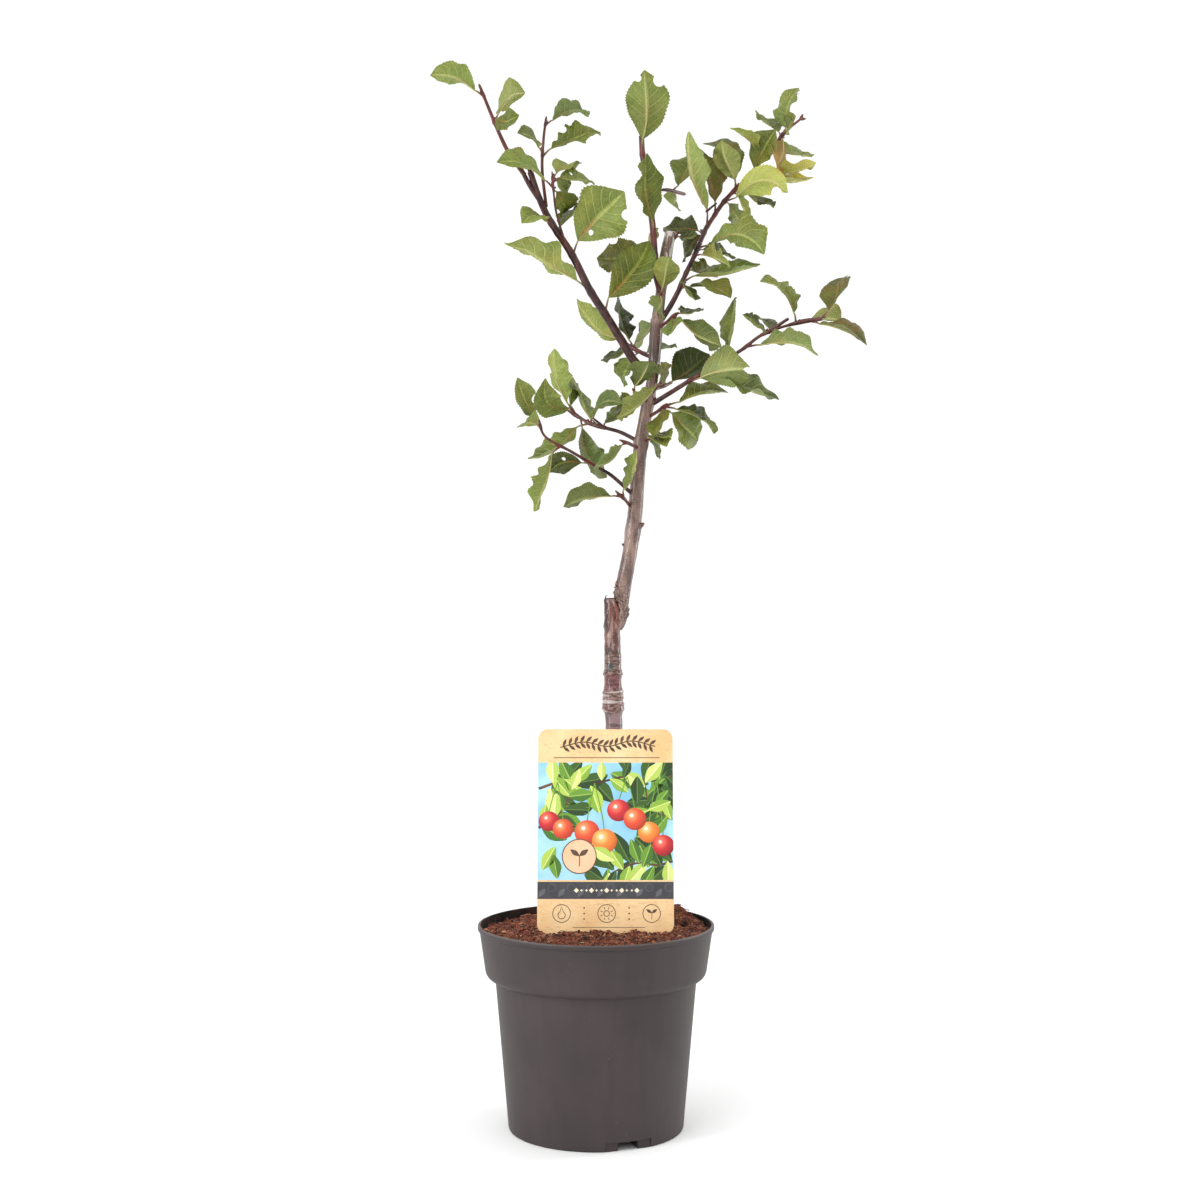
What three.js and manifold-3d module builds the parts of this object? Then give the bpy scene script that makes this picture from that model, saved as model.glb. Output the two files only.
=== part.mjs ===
// A young plum tree in a nursery pot, as it is sold: a grafted trunk with its boughs and leaves, the potting
// soil and the plant card that leans on the trunk.
// Millimetres, +Z up, the front towards -Y. The origin is the centre of the pot's flat underside.
import * as THREE from 'three';
import { mergeVertices } from 'three/addons/utils/BufferGeometryUtils.js';
import Module from 'manifold-3d';

const wasm = await Module();
wasm.setup();

// The pot: a thin tapered shell with a wider collar and a small rim
const rimRadius = 110;
const potHeight = 188.8;
const footRadius = 81.5;
const wallTopRadius = 93.6;
const stepHeight = 138;
const collarLowRadius = 103.2;
const collarHighRadius = 108.3;
const collarHeight = 148;
const rimBandHeight = 5.3;
const rimUnderside = 1.6;
const rimBevel = 1;
const footBevel = 2;
const floorBevel = 1.2;
const potWall = 1.8;
const potFloor = 2.2;
const potSides = 36;

// The rounded step from the wall to the collar as [radius, height], on the pot's outside and inside and on
// the soil that fills it
const stepOutside = [[98.6, 140.4], [102.3, 144.4]];
const stepInside = [[100, 145.6], [96.6, 142.2]];
const stepSoil = [[99.6, 145.8], [96.2, 142.7]];
const innerStepHeight = 139.8;

// The drain notches at the foot of the pot, each with a channel under the floor
const notchCount = 3;
const notchTurn = 21.6;
const notchWidth = 44;
const notchHeight = 8.5;
const notchPlane = 77.5;
const channelWidth = 19;
const channelHeight = 8;
const channelStart = 30;
const channelWall = 2;
const notchWall = 6;

// The soil: a loose heap, a little below the rim at the edge
const soilEdgeHeight = 183;
const soilRise = 6.5;
const soilLump = 1.1;
const soilMounds = [[80, 50, 12, 15], [-78, 55, -4, 30], [17.6, 4, 3, 16]];
const soilRings = [24, 46, 66, 84, 98];
const soilBelowRim = 4;

// The plant card
const cardWidth = 124.5;
const cardLength = 187;
const cardThickness = 1.2;
const cardCorner = 9;
const cardFoot = [8.75, -42, 186.5];
const cardLean = 11.2;

// The clear space between a solid and its neighbour
const gap = 0.3;

// The trunk: the rootstock from the soil to its cut top, and the scion that is grafted on it
const soilSeat = 189;
const trunkFoot = [17.6, 4, soilSeat + gap];
const rootstock = {
  route: [trunkFoot, [18.2, 4.6, 300], [16, 5, 395], [15.6, 5, 440], [14.4, 5, 491]],
  thick: [9.2, 8.2, 7.7, 7.6, 7],
  swellings: [[189, 3.6, 9], [391, 2.1, 6], [403, 1.5, 4], [421, 0.9, 3], [466, 0.9, 4]],
};
const scion = {
  route: [[21, 5, 462], [25, 5, 499], [31.5, 5.5, 534], [36.7, 6, 574], [42.2, 7, 637], [53, 8, 700],
    [56, 8.5, 738], [60.6, 9.5, 777], [65.2, 10, 811], [69.9, 11, 834.8]],
  thick: [5.4, 7.4, 6.8, 7, 6.4, 5.3, 6.1, 4.6, 5.9, 5],
  swellings: [[476, 1, 8], [555, 0.7, 6], [637, 0.9, 5], [676, 1, 5], [751, 0.6, 3]],
};
const trunkSides = 10;
const trunkStep = 14;
const seatRadius = 14;
const seatDepth = 40;
const knobs = [[41.2, 3, 560, 3.2], [26.6, 4, 541, 2.8], [19.6, 3, 505, 2.6], [54.2, 6, 677, 3.3]];

// How a leaf grows: its stalk, its blade and the clear space round it
const viewer = [3.7, -1654, 490];
const fullReach = 66;
const depthShare = 0.45;
const stalkShare = 0.18;
const stalkLean = 0.35;
const stalkRadius = 0.9;
const stalkTaper = 0.8;
const stalkSunk = 1.5;
const flattest = 0.2;
const bladeBreadth = 0.6;
const breadthSpread = 0.12;
const bladeSkew = 0.95;
const bladeFullness = 0.75;
const bladeThickness = 1.2;
const bladeFold = 0.36;
const leastBow = 0.04;
const bowSpread = 0.08;
const bladeStations = [0.2, 0.5, 0.8];
const leafToLeaf = 4.5;
const leafToOwn = 1.5;
const leafToLimb = 2.6;
const limbSampleStep = 4;
const depthTries = [1, 0.55, 1.4, -1, -0.55, 1.9, -1.6];
const limbSides = 6;
const seed = 41;

// The bare boughs. Each route is a few places from the trunk's middle to the first leaves, and thick holds
// its radius at both ends.
const boughs = {
  left_bough: { route: [[53, 8, 703], [37.5, 3, 711], [24, -3, 731], [11, -9, 751]], thick: [5, 4.6] },
  upright_shoot: { route: [[60, 3, 778], [56, 4, 795], [55, 6, 808]], thick: [3.4, 3.2] },
  right_bough: { route: [[60, 8, 750], [70, 9, 766], [78, 10, 781]], thick: [3.1, 2.8] },
  right_low_bough: { route: [[54, 4, 674], [70, -6, 683], [85, -12, 692]], thick: [2.8, 2.4] },
  left_low_bough: { route: [[42, 6, 637], [24, 12, 647], [9, 17, 652]], thick: [2.4, 2] },
  lowest_left_bough: { route: [[36, 5, 587], [15, -6, 605], [1, -12, 613]], thick: [2.2, 1.8] },
};

// The masses of foliage. The first shoot of each carries on from its bough's tip or starts on the trunk.
// A leaf is [share along the shoot, heading in degrees seen from the front, reach, share of its breadth that
// faces the front and is less than 0 when that is the underside, -1 forwards or 1 backwards, bend to the left
// of its heading, and for a broad leaf its breadth against the usual].
const masses = {
  left_crown_low: {
    from: 'left_bough', shoots: [
      { route: [[11, -9, 751], [-6, -19, 776], [-22, -30, 806], [-42, -42, 835], [-52, -51, 855],
        [-59, -58, 875]],
        thick: [4.6, 3.3],
        leaves: [[0.58, 174, 28, 0.35, -1, -0.2], [0.18, 144, 96, -0.45, -1, -0.05],
          [0.4, 50, 76, 1, -1, 0.03, 1.22], [0.04, 58, 79, 1, 1, -0.05], [0.52, 55, 29, 0.2, 1, 0.07]] },
      { route: [[-26, -33, 810], [-36, -52, 841], [-39, -62, 871]], thick: [1.4, 1],
        leaves: [[0.84, 156, 56, 0.4, -1, -0.22], [0.8, 300, 27, 0.95, 1, 0.06, 1.2],
          [0.92, 3, 37, 0.45, 1, 0.06], [0.96, 321, 22, 0.75, 1, -0.01], [0.96, 29, 24, 0.45, 1, 0.17]] },
      { route: [[-45, -48, 846], [-49, -36, 882], [-48, -30, 911], [-46, -24, 931]], thick: [1.9, 1.4],
        leaves: [[0.48, 28, 61, 0.55, 1, 0.05], [0.92, 16, 45, 0.5, 1, 0.17],
          [0.52, 143, 29, 0.35, -1, -0.19]] },
    ] },
  left_crown_tip: {
    from: 'left_crown_low', shoots: [
      { route: [[-64, -58, 872], [-79, -66, 892], [-91, -76, 917], [-102, -84, 943]], thick: [2.6, 1.6],
        leaves: [[0.92, 160, 50, -0.65, -1, -0.19], [0.64, 48, 38, -0.5, 1, 0.17],
          [0.64, 23, 21, 0.75, -1, -0.08]] },
    ] },
  upright_crown: {
    from: 'upright_shoot', shoots: [
      { route: [[55, 6, 808], [53, 12, 842], [48, 18, 881], [44, 23, 910], [43, 26, 929]], thick: [3.2, 2.6],
        leaves: [[0.76, 89, 81, -1, -1, -0.06], [0.18, 91, 77, 0.6, -1, 0.03],
          [0.02, 180, 55, 0.75, 1, -0.03, 1.2], [0.04, 91, 22, -0.4, -1, 0.02]] },
      { route: [[49, 17, 872], [65, 38, 881], [85, 64, 883]], thick: [1.6, 1.2],
        leaves: [[0.72, 63, 46, 0.75, 1, 0.03], [0.72, 276, 14, -0.65, -1, -0.06]] },
    ] },
  right_crown_low: {
    from: 'right_bough', shoots: [
      { route: [[78, 10, 781], [85, 14, 798], [92, 19, 813], [104, 28, 842]], thick: [2.8, 2.6],
        leaves: [[0.1, 312, 20, 0.3, -1, 0.05], [0.14, 18, 76, 0.2, 1, 0], [0.04, 347, 48, 0.35, -1, 0.21],
          [0.32, 19, 28, 0.8, 1, -0.05], [0.7, 342, 34, -0.35, -1, 0.14], [0.76, 349, 34, 0.35, 1, 0.13],
          [0.8, 353, 62, 0.6, -1, 0.36, 1.2], [0.94, 172, 38, 0.7, 1, -0.09],
          [0.96, 229, 36, 0.65, 1, -0.08]] },
    ] },
  right_crown_mid: {
    from: 'right_crown_low', shoots: [
      { route: [[104, 28, 842], [123, 38, 871], [143, 46, 892]], thick: [2.6, 2.3],
        leaves: [[0.04, 99, 92, -0.35, -1, 0.01], [0.24, 97, 68, 0.6, 1, -0.04],
          [0.48, 7, 62, -1, -1, 0.26, 1.25], [0.48, 310, 30, 0.9, 1, 0], [0.7, 308, 34, -0.35, -1, 0.01],
          [0.82, 340, 35, 0.3, 1, -0.07], [0.76, 106, 48, -0.95, -1, 0.02],
          [0.8, 126, 57, 0.5, 1, -0.26]] },
    ] },
  right_crown_tip: {
    from: 'right_crown_mid', shoots: [
      { route: [[143, 46, 892], [158, 52, 911], [183, 60, 942], [198, 66, 956]], thick: [2.3, 1.4],
        leaves: [[0.42, 360, 44, 0.3, 1, 0.1], [0.16, 9, 62, -0.2, -1, -0.02], [0.12, 1, 60, 0.2, 1, -0.05],
          [0.6, 259, 27, -0.75, -1, -0.01], [0.6, 71, 51, 0.55, 1, 0.14], [0.08, 62, 52, 0.8, 1, 0.06, 1.15],
          [0.6, 136, 32, 0.3, 1, -0.08], [0.64, 61, 20, 0.5, -1, 0.08], [0.36, 136, 43, -0.3, -1, -0.18]] },
    ] },
  right_low_near: {
    from: 'right_low_bough', shoots: [
      { route: [[85, -12, 692], [109.5, -14, 705], [135.4, -17, 721.4]], thick: [2.4, 2],
        leaves: [[0, 13, 64, -0.95, -1, 0.08, 1.2], [0.22, 343, 77, 0.35, 1, 0.1],
          [0.64, 81, 62, 0.35, 1, 0.05]] },
    ] },
  right_low_far: {
    from: 'right_low_near', shoots: [
      { route: [[135.4, -17, 721.4], [154.9, -22, 735], [184.6, -31, 743.6],
        [206, -40, 745.8]], thick: [2, 1],
        leaves: [[0.06, 357, 71, -0.4, -1, 0.17], [0.68, 5, 39, -0.45, 1, 0.14],
          [0.8, 340, 60, 0.25, -1, 0.16], [1, 74, 43, 0.7, 1, -0.03], [0.66, 129, 54, 0.3, 1, -0.22],
          [0.34, 129, 27, 0.2, -1, 0], [0.38, 117, 15, 0.5, 1, -0.08]] },
    ] },
  left_low_crown: {
    from: 'left_low_bough', shoots: [
      { route: [[9, 17, 652], [-6, 23, 657], [-25, 32, 669]], thick: [2, 1.4],
        leaves: [[0.92, 106, 64, -0.6, -1, 0.01], [0.86, 128, 43, 1, -1, 0.3, 1.25],
          [0.86, 103, 54, 0.25, 1, -0.11], [0.28, 112, 41, 0.3, 1, -0.01], [0.52, 32, 37, 0.45, -1, 0.27],
          [0.08, 43, 33, 0.6, 1, -0.03], [0.52, 209, 67, 0.4, -1, 0.03], [0.76, 299, 62, 0.6, 1, -0.11]] },
    ] },
  lowest_left_crown: {
    from: 'lowest_left_bough', shoots: [
      { route: [[1, -12, 613], [-22, -22, 626], [-46, -32, 639], [-52, -38, 654]], thick: [1.8, 1.2],
        leaves: [[0.9, 115, 48, 0.8, -1, 0.03], [0.84, 167, 20, -0.7, -1, -0.13], [0.1, 194, 38, 1, 1, -0.15],
          [0.48, 245, 66, -0.3, -1, -0.02]] },
    ] },
  lowest_spur: {
    from: 'trunk', shoots: [
      { route: [[33, 6, 576], [27, -7, 583], [20, -14, 589]], thick: [2, 1.4],
        leaves: [[0.64, 77, 45, 0.3, 1, 0], [0.76, 189, 56, -0.45, -1, -0.14]] },
    ] },
  low_left_spur: {
    from: 'trunk', shoots: [
      { route: [[41, 6, 631], [31, -7, 635], [24, -14, 637]], thick: [1.9, 1.3],
        leaves: [[0.64, 216, 36, -0.25, -1, 0]] },
    ] },
  low_right_spur: {
    from: 'trunk', shoots: [
      { route: [[42, 7, 637], [50, -4, 640], [56, -12, 644]], thick: [1.8, 1.2],
        leaves: [[0.8, 335, 14, 0.5, -1, 0], [1, 5, 13, 0.3, -1, 0], [0.8, 275, 18, 0.5, 1, 0]] },
    ] },
  mid_right_spur: {
    from: 'trunk', shoots: [
      { route: [[49, 7, 661], [59, -8, 666], [66, -16, 670]], thick: [2.1, 1.5],
        leaves: [[1, 11, 57, 0.3, 1, 0.18], [0.86, 336, 55, 0.25, 1, 0.15],
          [0.66, 321, 48, 0.85, -1, 0.02, 1.25], [0.72, 243, 27, 0.5, -1, 0]] },
    ] },
  mid_upper_spur: {
    from: 'trunk', shoots: [
      { route: [[52, 8, 686], [62, 19, 691], [70, 27, 695]], thick: [2, 1.4],
        leaves: [[0.62, 35, 52, 0.75, 1, 0.05, 1.3], [0.6, 89, 22, 0.55, -1, 0]] },
    ] },
  mid_left_spur: {
    from: 'trunk', shoots: [
      { route: [[49, 7, 675], [42, -8, 678], [35, -16, 682]], thick: [2, 1.4],
        leaves: [[1, 66, 34, -0.9, -1, 0, 1.3], [0.64, 211, 27, 0.7, 1, -0.04]] },
    ] },
  mid_front_spur: {
    from: 'trunk', shoots: [
      { route: [[52, 7, 683], [57, -7, 688], [60, -13, 691]], thick: [1.9, 1.4],
        leaves: [[1, 216, 53, -0.4, -1, 0]] },
    ] },
  fork_spur: {
    from: 'trunk', shoots: [
      { route: [[54, 8, 716], [42, 22, 724], [32, 30, 731]], thick: [2.4, 1.6],
        leaves: [[0.96, 134, 66, -0.5, 1, 0.11], [0.84, 101, 50, 0.5, 1, 0.02],
          [0.8, 62, 29, -0.35, 1, 0.01], [0.36, 16, 29, 0.35, 1, 0.1], [0.88, 195, 28, 0.3, 1, 0.05],
          [0.56, 239, 38, 0.6, 1, -0.09]] },
    ] },
  top_right_spur: {
    from: 'trunk', shoots: [
      { route: [[57, 9, 743], [68, -6, 750], [74, -15, 754]], thick: [2, 1.4],
        leaves: [[0.66, 256, 17, 0.7, -1, 0.02], [0.92, 15, 18, 0.3, 1, 0.04],
          [0.74, 331, 53, -0.5, -1, 0]] },
    ] },
  top_spur: {
    from: 'trunk', shoots: [
      { route: [[60, 9, 765], [60, -7, 768], [60, -15, 772]], thick: [1.9, 1.3],
        leaves: [[1, 77, 36, -1, -1, 0], [0.86, 250, 15, -0.7, -1, 0]] },
    ] },
  crest_spur: {
    from: 'trunk', shoots: [
      { route: [[67, 10, 820], [73, 22, 830], [78, 30, 839]], thick: [1.9, 1.3],
        leaves: [[0.64, 9, 22, 0.45, 1, -0.01]] },
    ] },
};

const bark = new THREE.MeshStandardMaterial({ color: 0x6b5549, roughness: 0.55, metalness: 0 });
const youngBark = new THREE.MeshStandardMaterial({ color: 0x4a2a28, roughness: 0.45, metalness: 0 });
const leafGreen = new THREE.MeshStandardMaterial({ color: 0x6f8c46, roughness: 0.6, metalness: 0 });
const potPlastic = new THREE.MeshStandardMaterial({ color: 0x5a5253, roughness: 0.6, metalness: 0 });
const coir = new THREE.MeshStandardMaterial({ color: 0x5f3a2b, roughness: 0.95, metalness: 0 });
const cardboard = new THREE.MeshStandardMaterial({ color: 0xe6c596, roughness: 0.8, metalness: 0 });

// A closed mesh as a solid, with its shared corners merged and its faces turned outwards
function asSolid(geometry) {
  const bare = geometry.clone();
  bare.deleteAttribute('normal');
  bare.deleteAttribute('uv');
  const merged = mergeVertices(bare, 1e-4);
  const place = merged.attributes.position;
  const corners = [];
  const from = Array.from(merged.index.array);
  let sixVolumes = 0;
  for (let i = 0; i < from.length; i += 3) {
    const [a, b, c] = from.slice(i, i + 3);
    if (a === b || b === c || c === a) continue;
    corners.push(a, b, c);
    const [p, q, r] = [a, b, c].map((k) => new THREE.Vector3().fromBufferAttribute(place, k));
    sixVolumes += p.dot(q.cross(r));
  }
  if (sixVolumes < 0) corners.reverse();
  return new wasm.Manifold(new wasm.Mesh({
    numProp: 3,
    vertProperties: new Float32Array(place.array),
    triVerts: new Uint32Array(corners),
  }));
}

function asMesh(name, solid, material) {
  const { vertProperties, triVerts } = solid.getMesh();
  const geometry = new THREE.BufferGeometry();
  geometry.setAttribute('position', new THREE.BufferAttribute(vertProperties, 3));
  geometry.setIndex(new THREE.BufferAttribute(triVerts, 1));
  geometry.computeVertexNormals();
  const mesh = new THREE.Mesh(geometry, material);
  mesh.name = name;
  return mesh;
}

// A solid through rings of points. A ring of one point is a sharp end, and any other end gets a flat cap.
function skinSolid(rings) {
  const places = [];
  const corners = [];
  const starts = rings.map((ring) => {
    const start = places.length / 3;
    ring.forEach((p) => places.push(p.x, p.y, p.z));
    return start;
  });
  for (let k = 0; k < rings.length - 1; k += 1) {
    const count = Math.max(rings[k].length, rings[k + 1].length);
    for (let i = 0; i < count; i += 1) {
      const j = (i + 1) % count;
      const corner = (ring, turn) => starts[ring] + (rings[ring].length === 1 ? 0 : turn);
      corners.push(corner(k, i), corner(k, j), corner(k + 1, j));
      corners.push(corner(k, i), corner(k + 1, j), corner(k + 1, i));
    }
  }
  const cap = (ring, ahead, behind) => {
    for (let i = 1; i < rings[ring].length - 1; i += 1) {
      corners.push(starts[ring], starts[ring] + i + ahead, starts[ring] + i + behind);
    }
  };
  cap(0, 1, 0);
  cap(rings.length - 1, 0, 1);
  const geometry = new THREE.BufferGeometry();
  geometry.setAttribute('position', new THREE.Float32BufferAttribute(places, 3));
  geometry.setIndex(corners);
  return asSolid(geometry);
}

const vector = (p) => new THREE.Vector3(...p);
const curveOf = (route) => new THREE.CatmullRomCurve3(route.map(vector), false, 'catmullrom', 0.5);

// A limb's radius at a share of its route: the taper between the given radii, and its swellings by height
function radiusAt(limb, curve, share) {
  const span = share * (limb.thick.length - 1);
  const i = Math.min(Math.floor(span), limb.thick.length - 2);
  let radius = limb.thick[i] + (limb.thick[i + 1] - limb.thick[i]) * (span - i);
  const height = curve.getPoint(share).z;
  for (const [at, extra, spread] of limb.swellings ?? []) {
    radius += extra * Math.exp(-(((height - at) / spread) ** 2));
  }
  return radius;
}

// A tapering round limb along its route. wider adds to its radius and, at its tip, to its length.
function limbSolid(limb, sides, steps, wider = 0, levelFoot = false) {
  const curve = curveOf(limb.route);
  const overall = curve.getPoint(1).sub(curve.getPoint(0)).normalize();
  const across = Math.abs(overall.y) > 0.8 ? new THREE.Vector3(1, 0, 0) : new THREE.Vector3(0, 1, 0);
  const rings = [];
  for (let k = 0; k <= steps; k += 1) {
    const share = k / steps;
    const along = levelFoot && k === 0 ? new THREE.Vector3(0, 0, 1) : curve.getTangent(share);
    const middle = curve.getPoint(share);
    if (wider > 0 && k === steps) middle.addScaledVector(along, wider);
    const right = across.clone().cross(along).normalize();
    const front = along.clone().cross(right).normalize();
    const radius = radiusAt(limb, curve, share) + wider;
    rings.push(Array.from({ length: sides }, (_, i) => {
      const turn = (2 * Math.PI * i) / sides;
      return middle.clone().addScaledVector(right, radius * Math.cos(turn))
        .addScaledVector(front, radius * Math.sin(turn));
    }));
  }
  return skinSolid(rings);
}

function lathe(profile) {
  const points = profile.map(([r, z]) => new THREE.Vector2(r, z));
  return asSolid(new THREE.LatheGeometry(points, potSides).rotateX(Math.PI / 2));
}

// A box that points to the front from the pot's axis, turned to each notch
function atNotches(width, inner, outer, low, high) {
  const one = asSolid(new THREE.BoxGeometry(width, outer - inner, high - low)
    .translate(0, -(inner + outer) / 2, (low + high) / 2));
  return wasm.Manifold.union(Array.from({ length: notchCount }, (_, i) => one.rotate(
    [0, 0, notchTurn + (360 / notchCount) * i])));
}

// The walls round the channels and notches, as they stand up from the floor inside
function channelCovers(spare) {
  const around = channelWall + spare;
  const low = potFloor / 2;
  const inner = notchPlane - notchWall - spare;
  return atNotches(channelWidth + 2 * around, channelStart - around, rimRadius, low, channelHeight + around)
    .add(atNotches(notchWidth + 2 * spare, inner, rimRadius, low, notchHeight + around));
}

function potSolid() {
  const collarTop = potHeight - rimBandHeight;
  const outside = [
    [0, 0], [footRadius - footBevel, 0], [footRadius, footBevel], [wallTopRadius, stepHeight],
    ...stepOutside, [collarLowRadius, collarHeight], [collarHighRadius, collarTop],
    [rimRadius, collarTop + rimUnderside], [rimRadius, potHeight - rimBevel],
    [rimRadius - rimBevel, potHeight],
  ];
  const inside = [
    [collarHighRadius - potWall + rimBevel, potHeight], [collarHighRadius - potWall, potHeight - rimBevel],
    [collarLowRadius - potWall, collarHeight], ...stepInside, [wallTopRadius - potWall, innerStepHeight],
    [footRadius - potWall, potFloor + floorBevel], [footRadius - potWall - floorBevel, potFloor],
    [0, potFloor],
  ];
  const midWall = potWall / 2;
  const core = lathe([
    [0, potFloor / 4], [footRadius - midWall, potFloor], [wallTopRadius - midWall, stepHeight],
    [0, stepHeight],
  ]);
  return lathe([...outside, ...inside])
    .add(channelCovers(0).intersect(core))
    .subtract(atNotches(channelWidth, channelStart, rimRadius, -1, channelHeight))
    .subtract(atNotches(notchWidth, notchPlane, rimRadius, -1, notchHeight));
}

// The heap's height: higher towards the middle and at the back right, lower at the back left
function soilHeight(x, y) {
  const lumps = soilLump * (Math.sin(x * 0.21 + y * 0.13) + Math.sin(y * 0.27 - x * 0.11));
  let height = soilEdgeHeight + soilRise * (1 - (x * x + y * y) / rimRadius ** 2) + lumps;
  for (const [atX, atY, extra, spread] of soilMounds) {
    height += extra * Math.exp(-((x - atX) ** 2 + (y - atY) ** 2) / (2 * spread ** 2));
  }
  return height;
}

function soilSolid() {
  const clear = potWall + gap / Math.cos(Math.PI / potSides);
  const collarSlope = (collarHighRadius - collarLowRadius) / (potHeight - collarHeight);
  const insideAt = (height) => collarLowRadius - clear + collarSlope * (height - collarHeight);
  const wallRings = [
    [insideAt(collarHeight), collarHeight], ...stepSoil, [wallTopRadius - clear, innerStepHeight + gap],
    [footRadius - clear, potFloor + gap + floorBevel], [footRadius - clear - floorBevel, potFloor + gap],
  ];
  const ring = (radius, heightAt) => Array.from({ length: potSides }, (_, i) => {
    const turn = (2 * Math.PI * i) / potSides;
    const [x, y] = [radius * Math.sin(turn), radius * Math.cos(turn)];
    return new THREE.Vector3(x, y, heightAt(x, y));
  });
  const edgeRadius = insideAt(soilEdgeHeight);
  const edge = ring(edgeRadius, (x, y) => Math.min(soilHeight(x, y), potHeight - soilBelowRim));
  for (const p of edge) {
    const scale = insideAt(p.z) / edgeRadius;
    p.set(p.x * scale, p.y * scale, p.z);
  }
  const rings = [[new THREE.Vector3(0, 0, soilHeight(0, 0))]];
  for (const radius of soilRings) rings.push(ring(radius, soilHeight));
  rings.push(edge);
  for (const [radius, height] of wallRings) rings.push(ring(radius, () => height));
  rings.push([new THREE.Vector3(0, 0, potFloor + gap)]);
  const seat = asSolid(new THREE.CylinderGeometry(seatRadius, seatRadius, seatDepth, 20).rotateX(Math.PI / 2)
    .translate(trunkFoot[0], trunkFoot[1], soilSeat + seatDepth / 2));
  return skinSolid(rings).subtract(channelCovers(gap)).subtract(seat).subtract(cardSolid(gap));
}

// The card stands in the soil's top and leans back. spare makes the cutter of its slot.
function cardSolid(spare) {
  const half = cardWidth / 2 + spare;
  const corner = cardCorner + spare;
  const outline = new THREE.Shape();
  outline.moveTo(-half + corner, -spare);
  outline.lineTo(half - corner, -spare);
  outline.absarc(half - corner, corner - spare, corner, -Math.PI / 2, 0);
  outline.absarc(half - corner, cardLength - corner + spare, corner, 0, Math.PI / 2);
  outline.absarc(-half + corner, cardLength - corner + spare, corner, Math.PI / 2, Math.PI);
  outline.absarc(-half + corner, corner - spare, corner, Math.PI, Math.PI * 1.5);
  const depth = cardThickness + 2 * spare;
  const plate = new THREE.ExtrudeGeometry(outline, { depth, bevelEnabled: false, curveSegments: 4 });
  plate.translate(0, 0, -depth / 2).rotateX(THREE.MathUtils.degToRad(90 - cardLean)).translate(...cardFoot);
  return asSolid(plate);
}

function trunkSolid(wider = 0) {
  const steps = (limb) => Math.round((limb.route.at(-1)[2] - limb.route[0][2]) / trunkStep);
  const pieces = knobs.map(([x, y, z, size]) => (
    asSolid(new THREE.IcosahedronGeometry(size + wider, 0).translate(x, y, z))));
  pieces.push(limbSolid(rootstock, trunkSides, steps(rootstock), wider, true));
  pieces.push(limbSolid(scion, trunkSides, steps(scion), wider));
  return wasm.Manifold.union(pieces);
}

// Evenly spread chance, the same at each run
function chanceFrom(start) {
  let state = start >>> 0;
  return () => {
    state = (state + 0x6d2b79f5) >>> 0;
    let mixed = Math.imul(state ^ (state >>> 15), state | 1);
    mixed ^= mixed + Math.imul(mixed ^ (mixed >>> 7), mixed | 61);
    return ((mixed ^ (mixed >>> 14)) >>> 0) / 4294967296;
  };
}

const chance = chanceFrom(seed);

// Places along every limb and shoot, with the radius there, that the leaves keep clear of
const limbPlaces = [];
const shoots = Object.values(masses).flatMap((mass) => mass.shoots);
for (const limb of [rootstock, scion, ...Object.values(boughs), ...shoots]) {
  const curve = curveOf(limb.route);
  const steps = Math.ceil(curve.getLength() / limbSampleStep);
  for (let k = 0; k <= steps; k += 1) {
    limbPlaces.push({ at: curve.getPoint(k / steps), radius: radiusAt(limb, curve, k / steps) });
  }
}
const leafPlaces = [];

// Where one leaf lies. Its tip is as far in depth, along the line of sight, as its length leaves over,
// times lean.
function leafPose(curve, [share, heading, reach, show, away, bend, full = 1], tone, lean) {
  const foot = curve.getPoint(share);
  const turn = THREE.MathUtils.degToRad(heading);
  const long = reach + depthShare * Math.max(0, fullReach - reach);
  const depth = Math.sqrt(long ** 2 - reach ** 2 + (flattest * long) ** 2) * away * lean;
  const seenTip = foot.clone().add(new THREE.Vector3(Math.cos(turn) * reach, 0, Math.sin(turn) * reach));
  const tip = vector(viewer).lerp(seenTip, 1 + depth / (seenTip.y - viewer[1]));
  const reached = tip.clone().sub(foot);
  const stalk = reached.clone().normalize().addScaledVector(curve.getTangent(share), stalkLean)
    .normalize();
  const base = foot.clone().addScaledVector(stalk, reached.length() * stalkShare);
  const along = tip.clone().sub(base);
  const length = along.length();
  along.normalize();
  const sight = vector(viewer).sub(foot).normalize();
  const left = sight.clone().cross(along).normalize();
  const front = along.clone().cross(left).multiplyScalar(Math.sign(show)).normalize();
  const facing = Math.min(1, Math.abs(show));
  const normal = front.clone().multiplyScalar(facing)
    .addScaledVector(left, Math.sqrt(1 - facing ** 2) * (left.z < 0 ? -1 : 1)).normalize();
  const breadth = length * bladeBreadth * full * (1 + breadthSpread * (tone.breadth - 0.5));
  const bow = 4 * length * (leastBow + bowSpread * tone.bow);
  const swing = 4 * length * bend;
  const frame = (t) => {
    const middle = base.clone().addScaledVector(along, length * t).addScaledVector(left, swing * t * (1 - t))
      .addScaledVector(front, bow * t * (1 - t));
    const onward = along.clone().multiplyScalar(length).addScaledVector(left, swing * (1 - 2 * t))
      .addScaledVector(front, bow * (1 - 2 * t)).normalize();
    const side = onward.clone().cross(normal).normalize();
    return { middle, side, face: side.clone().cross(onward) };
  };
  const on = (t, across) => {
    const { middle, side, face } = frame(t);
    const half = 0.5 * breadth * Math.max(0, Math.sin(Math.PI * t ** bladeSkew)) ** bladeFullness;
    return middle.addScaledVector(side, across * half * Math.cos(bladeFold))
      .addScaledVector(face, (Math.abs(across) - 1) * half * Math.sin(bladeFold));
  };
  const root = foot.clone().addScaledVector(curve.getTangent(share), -stalkSunk);
  return { root, base, tip, frame, on };
}

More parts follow.
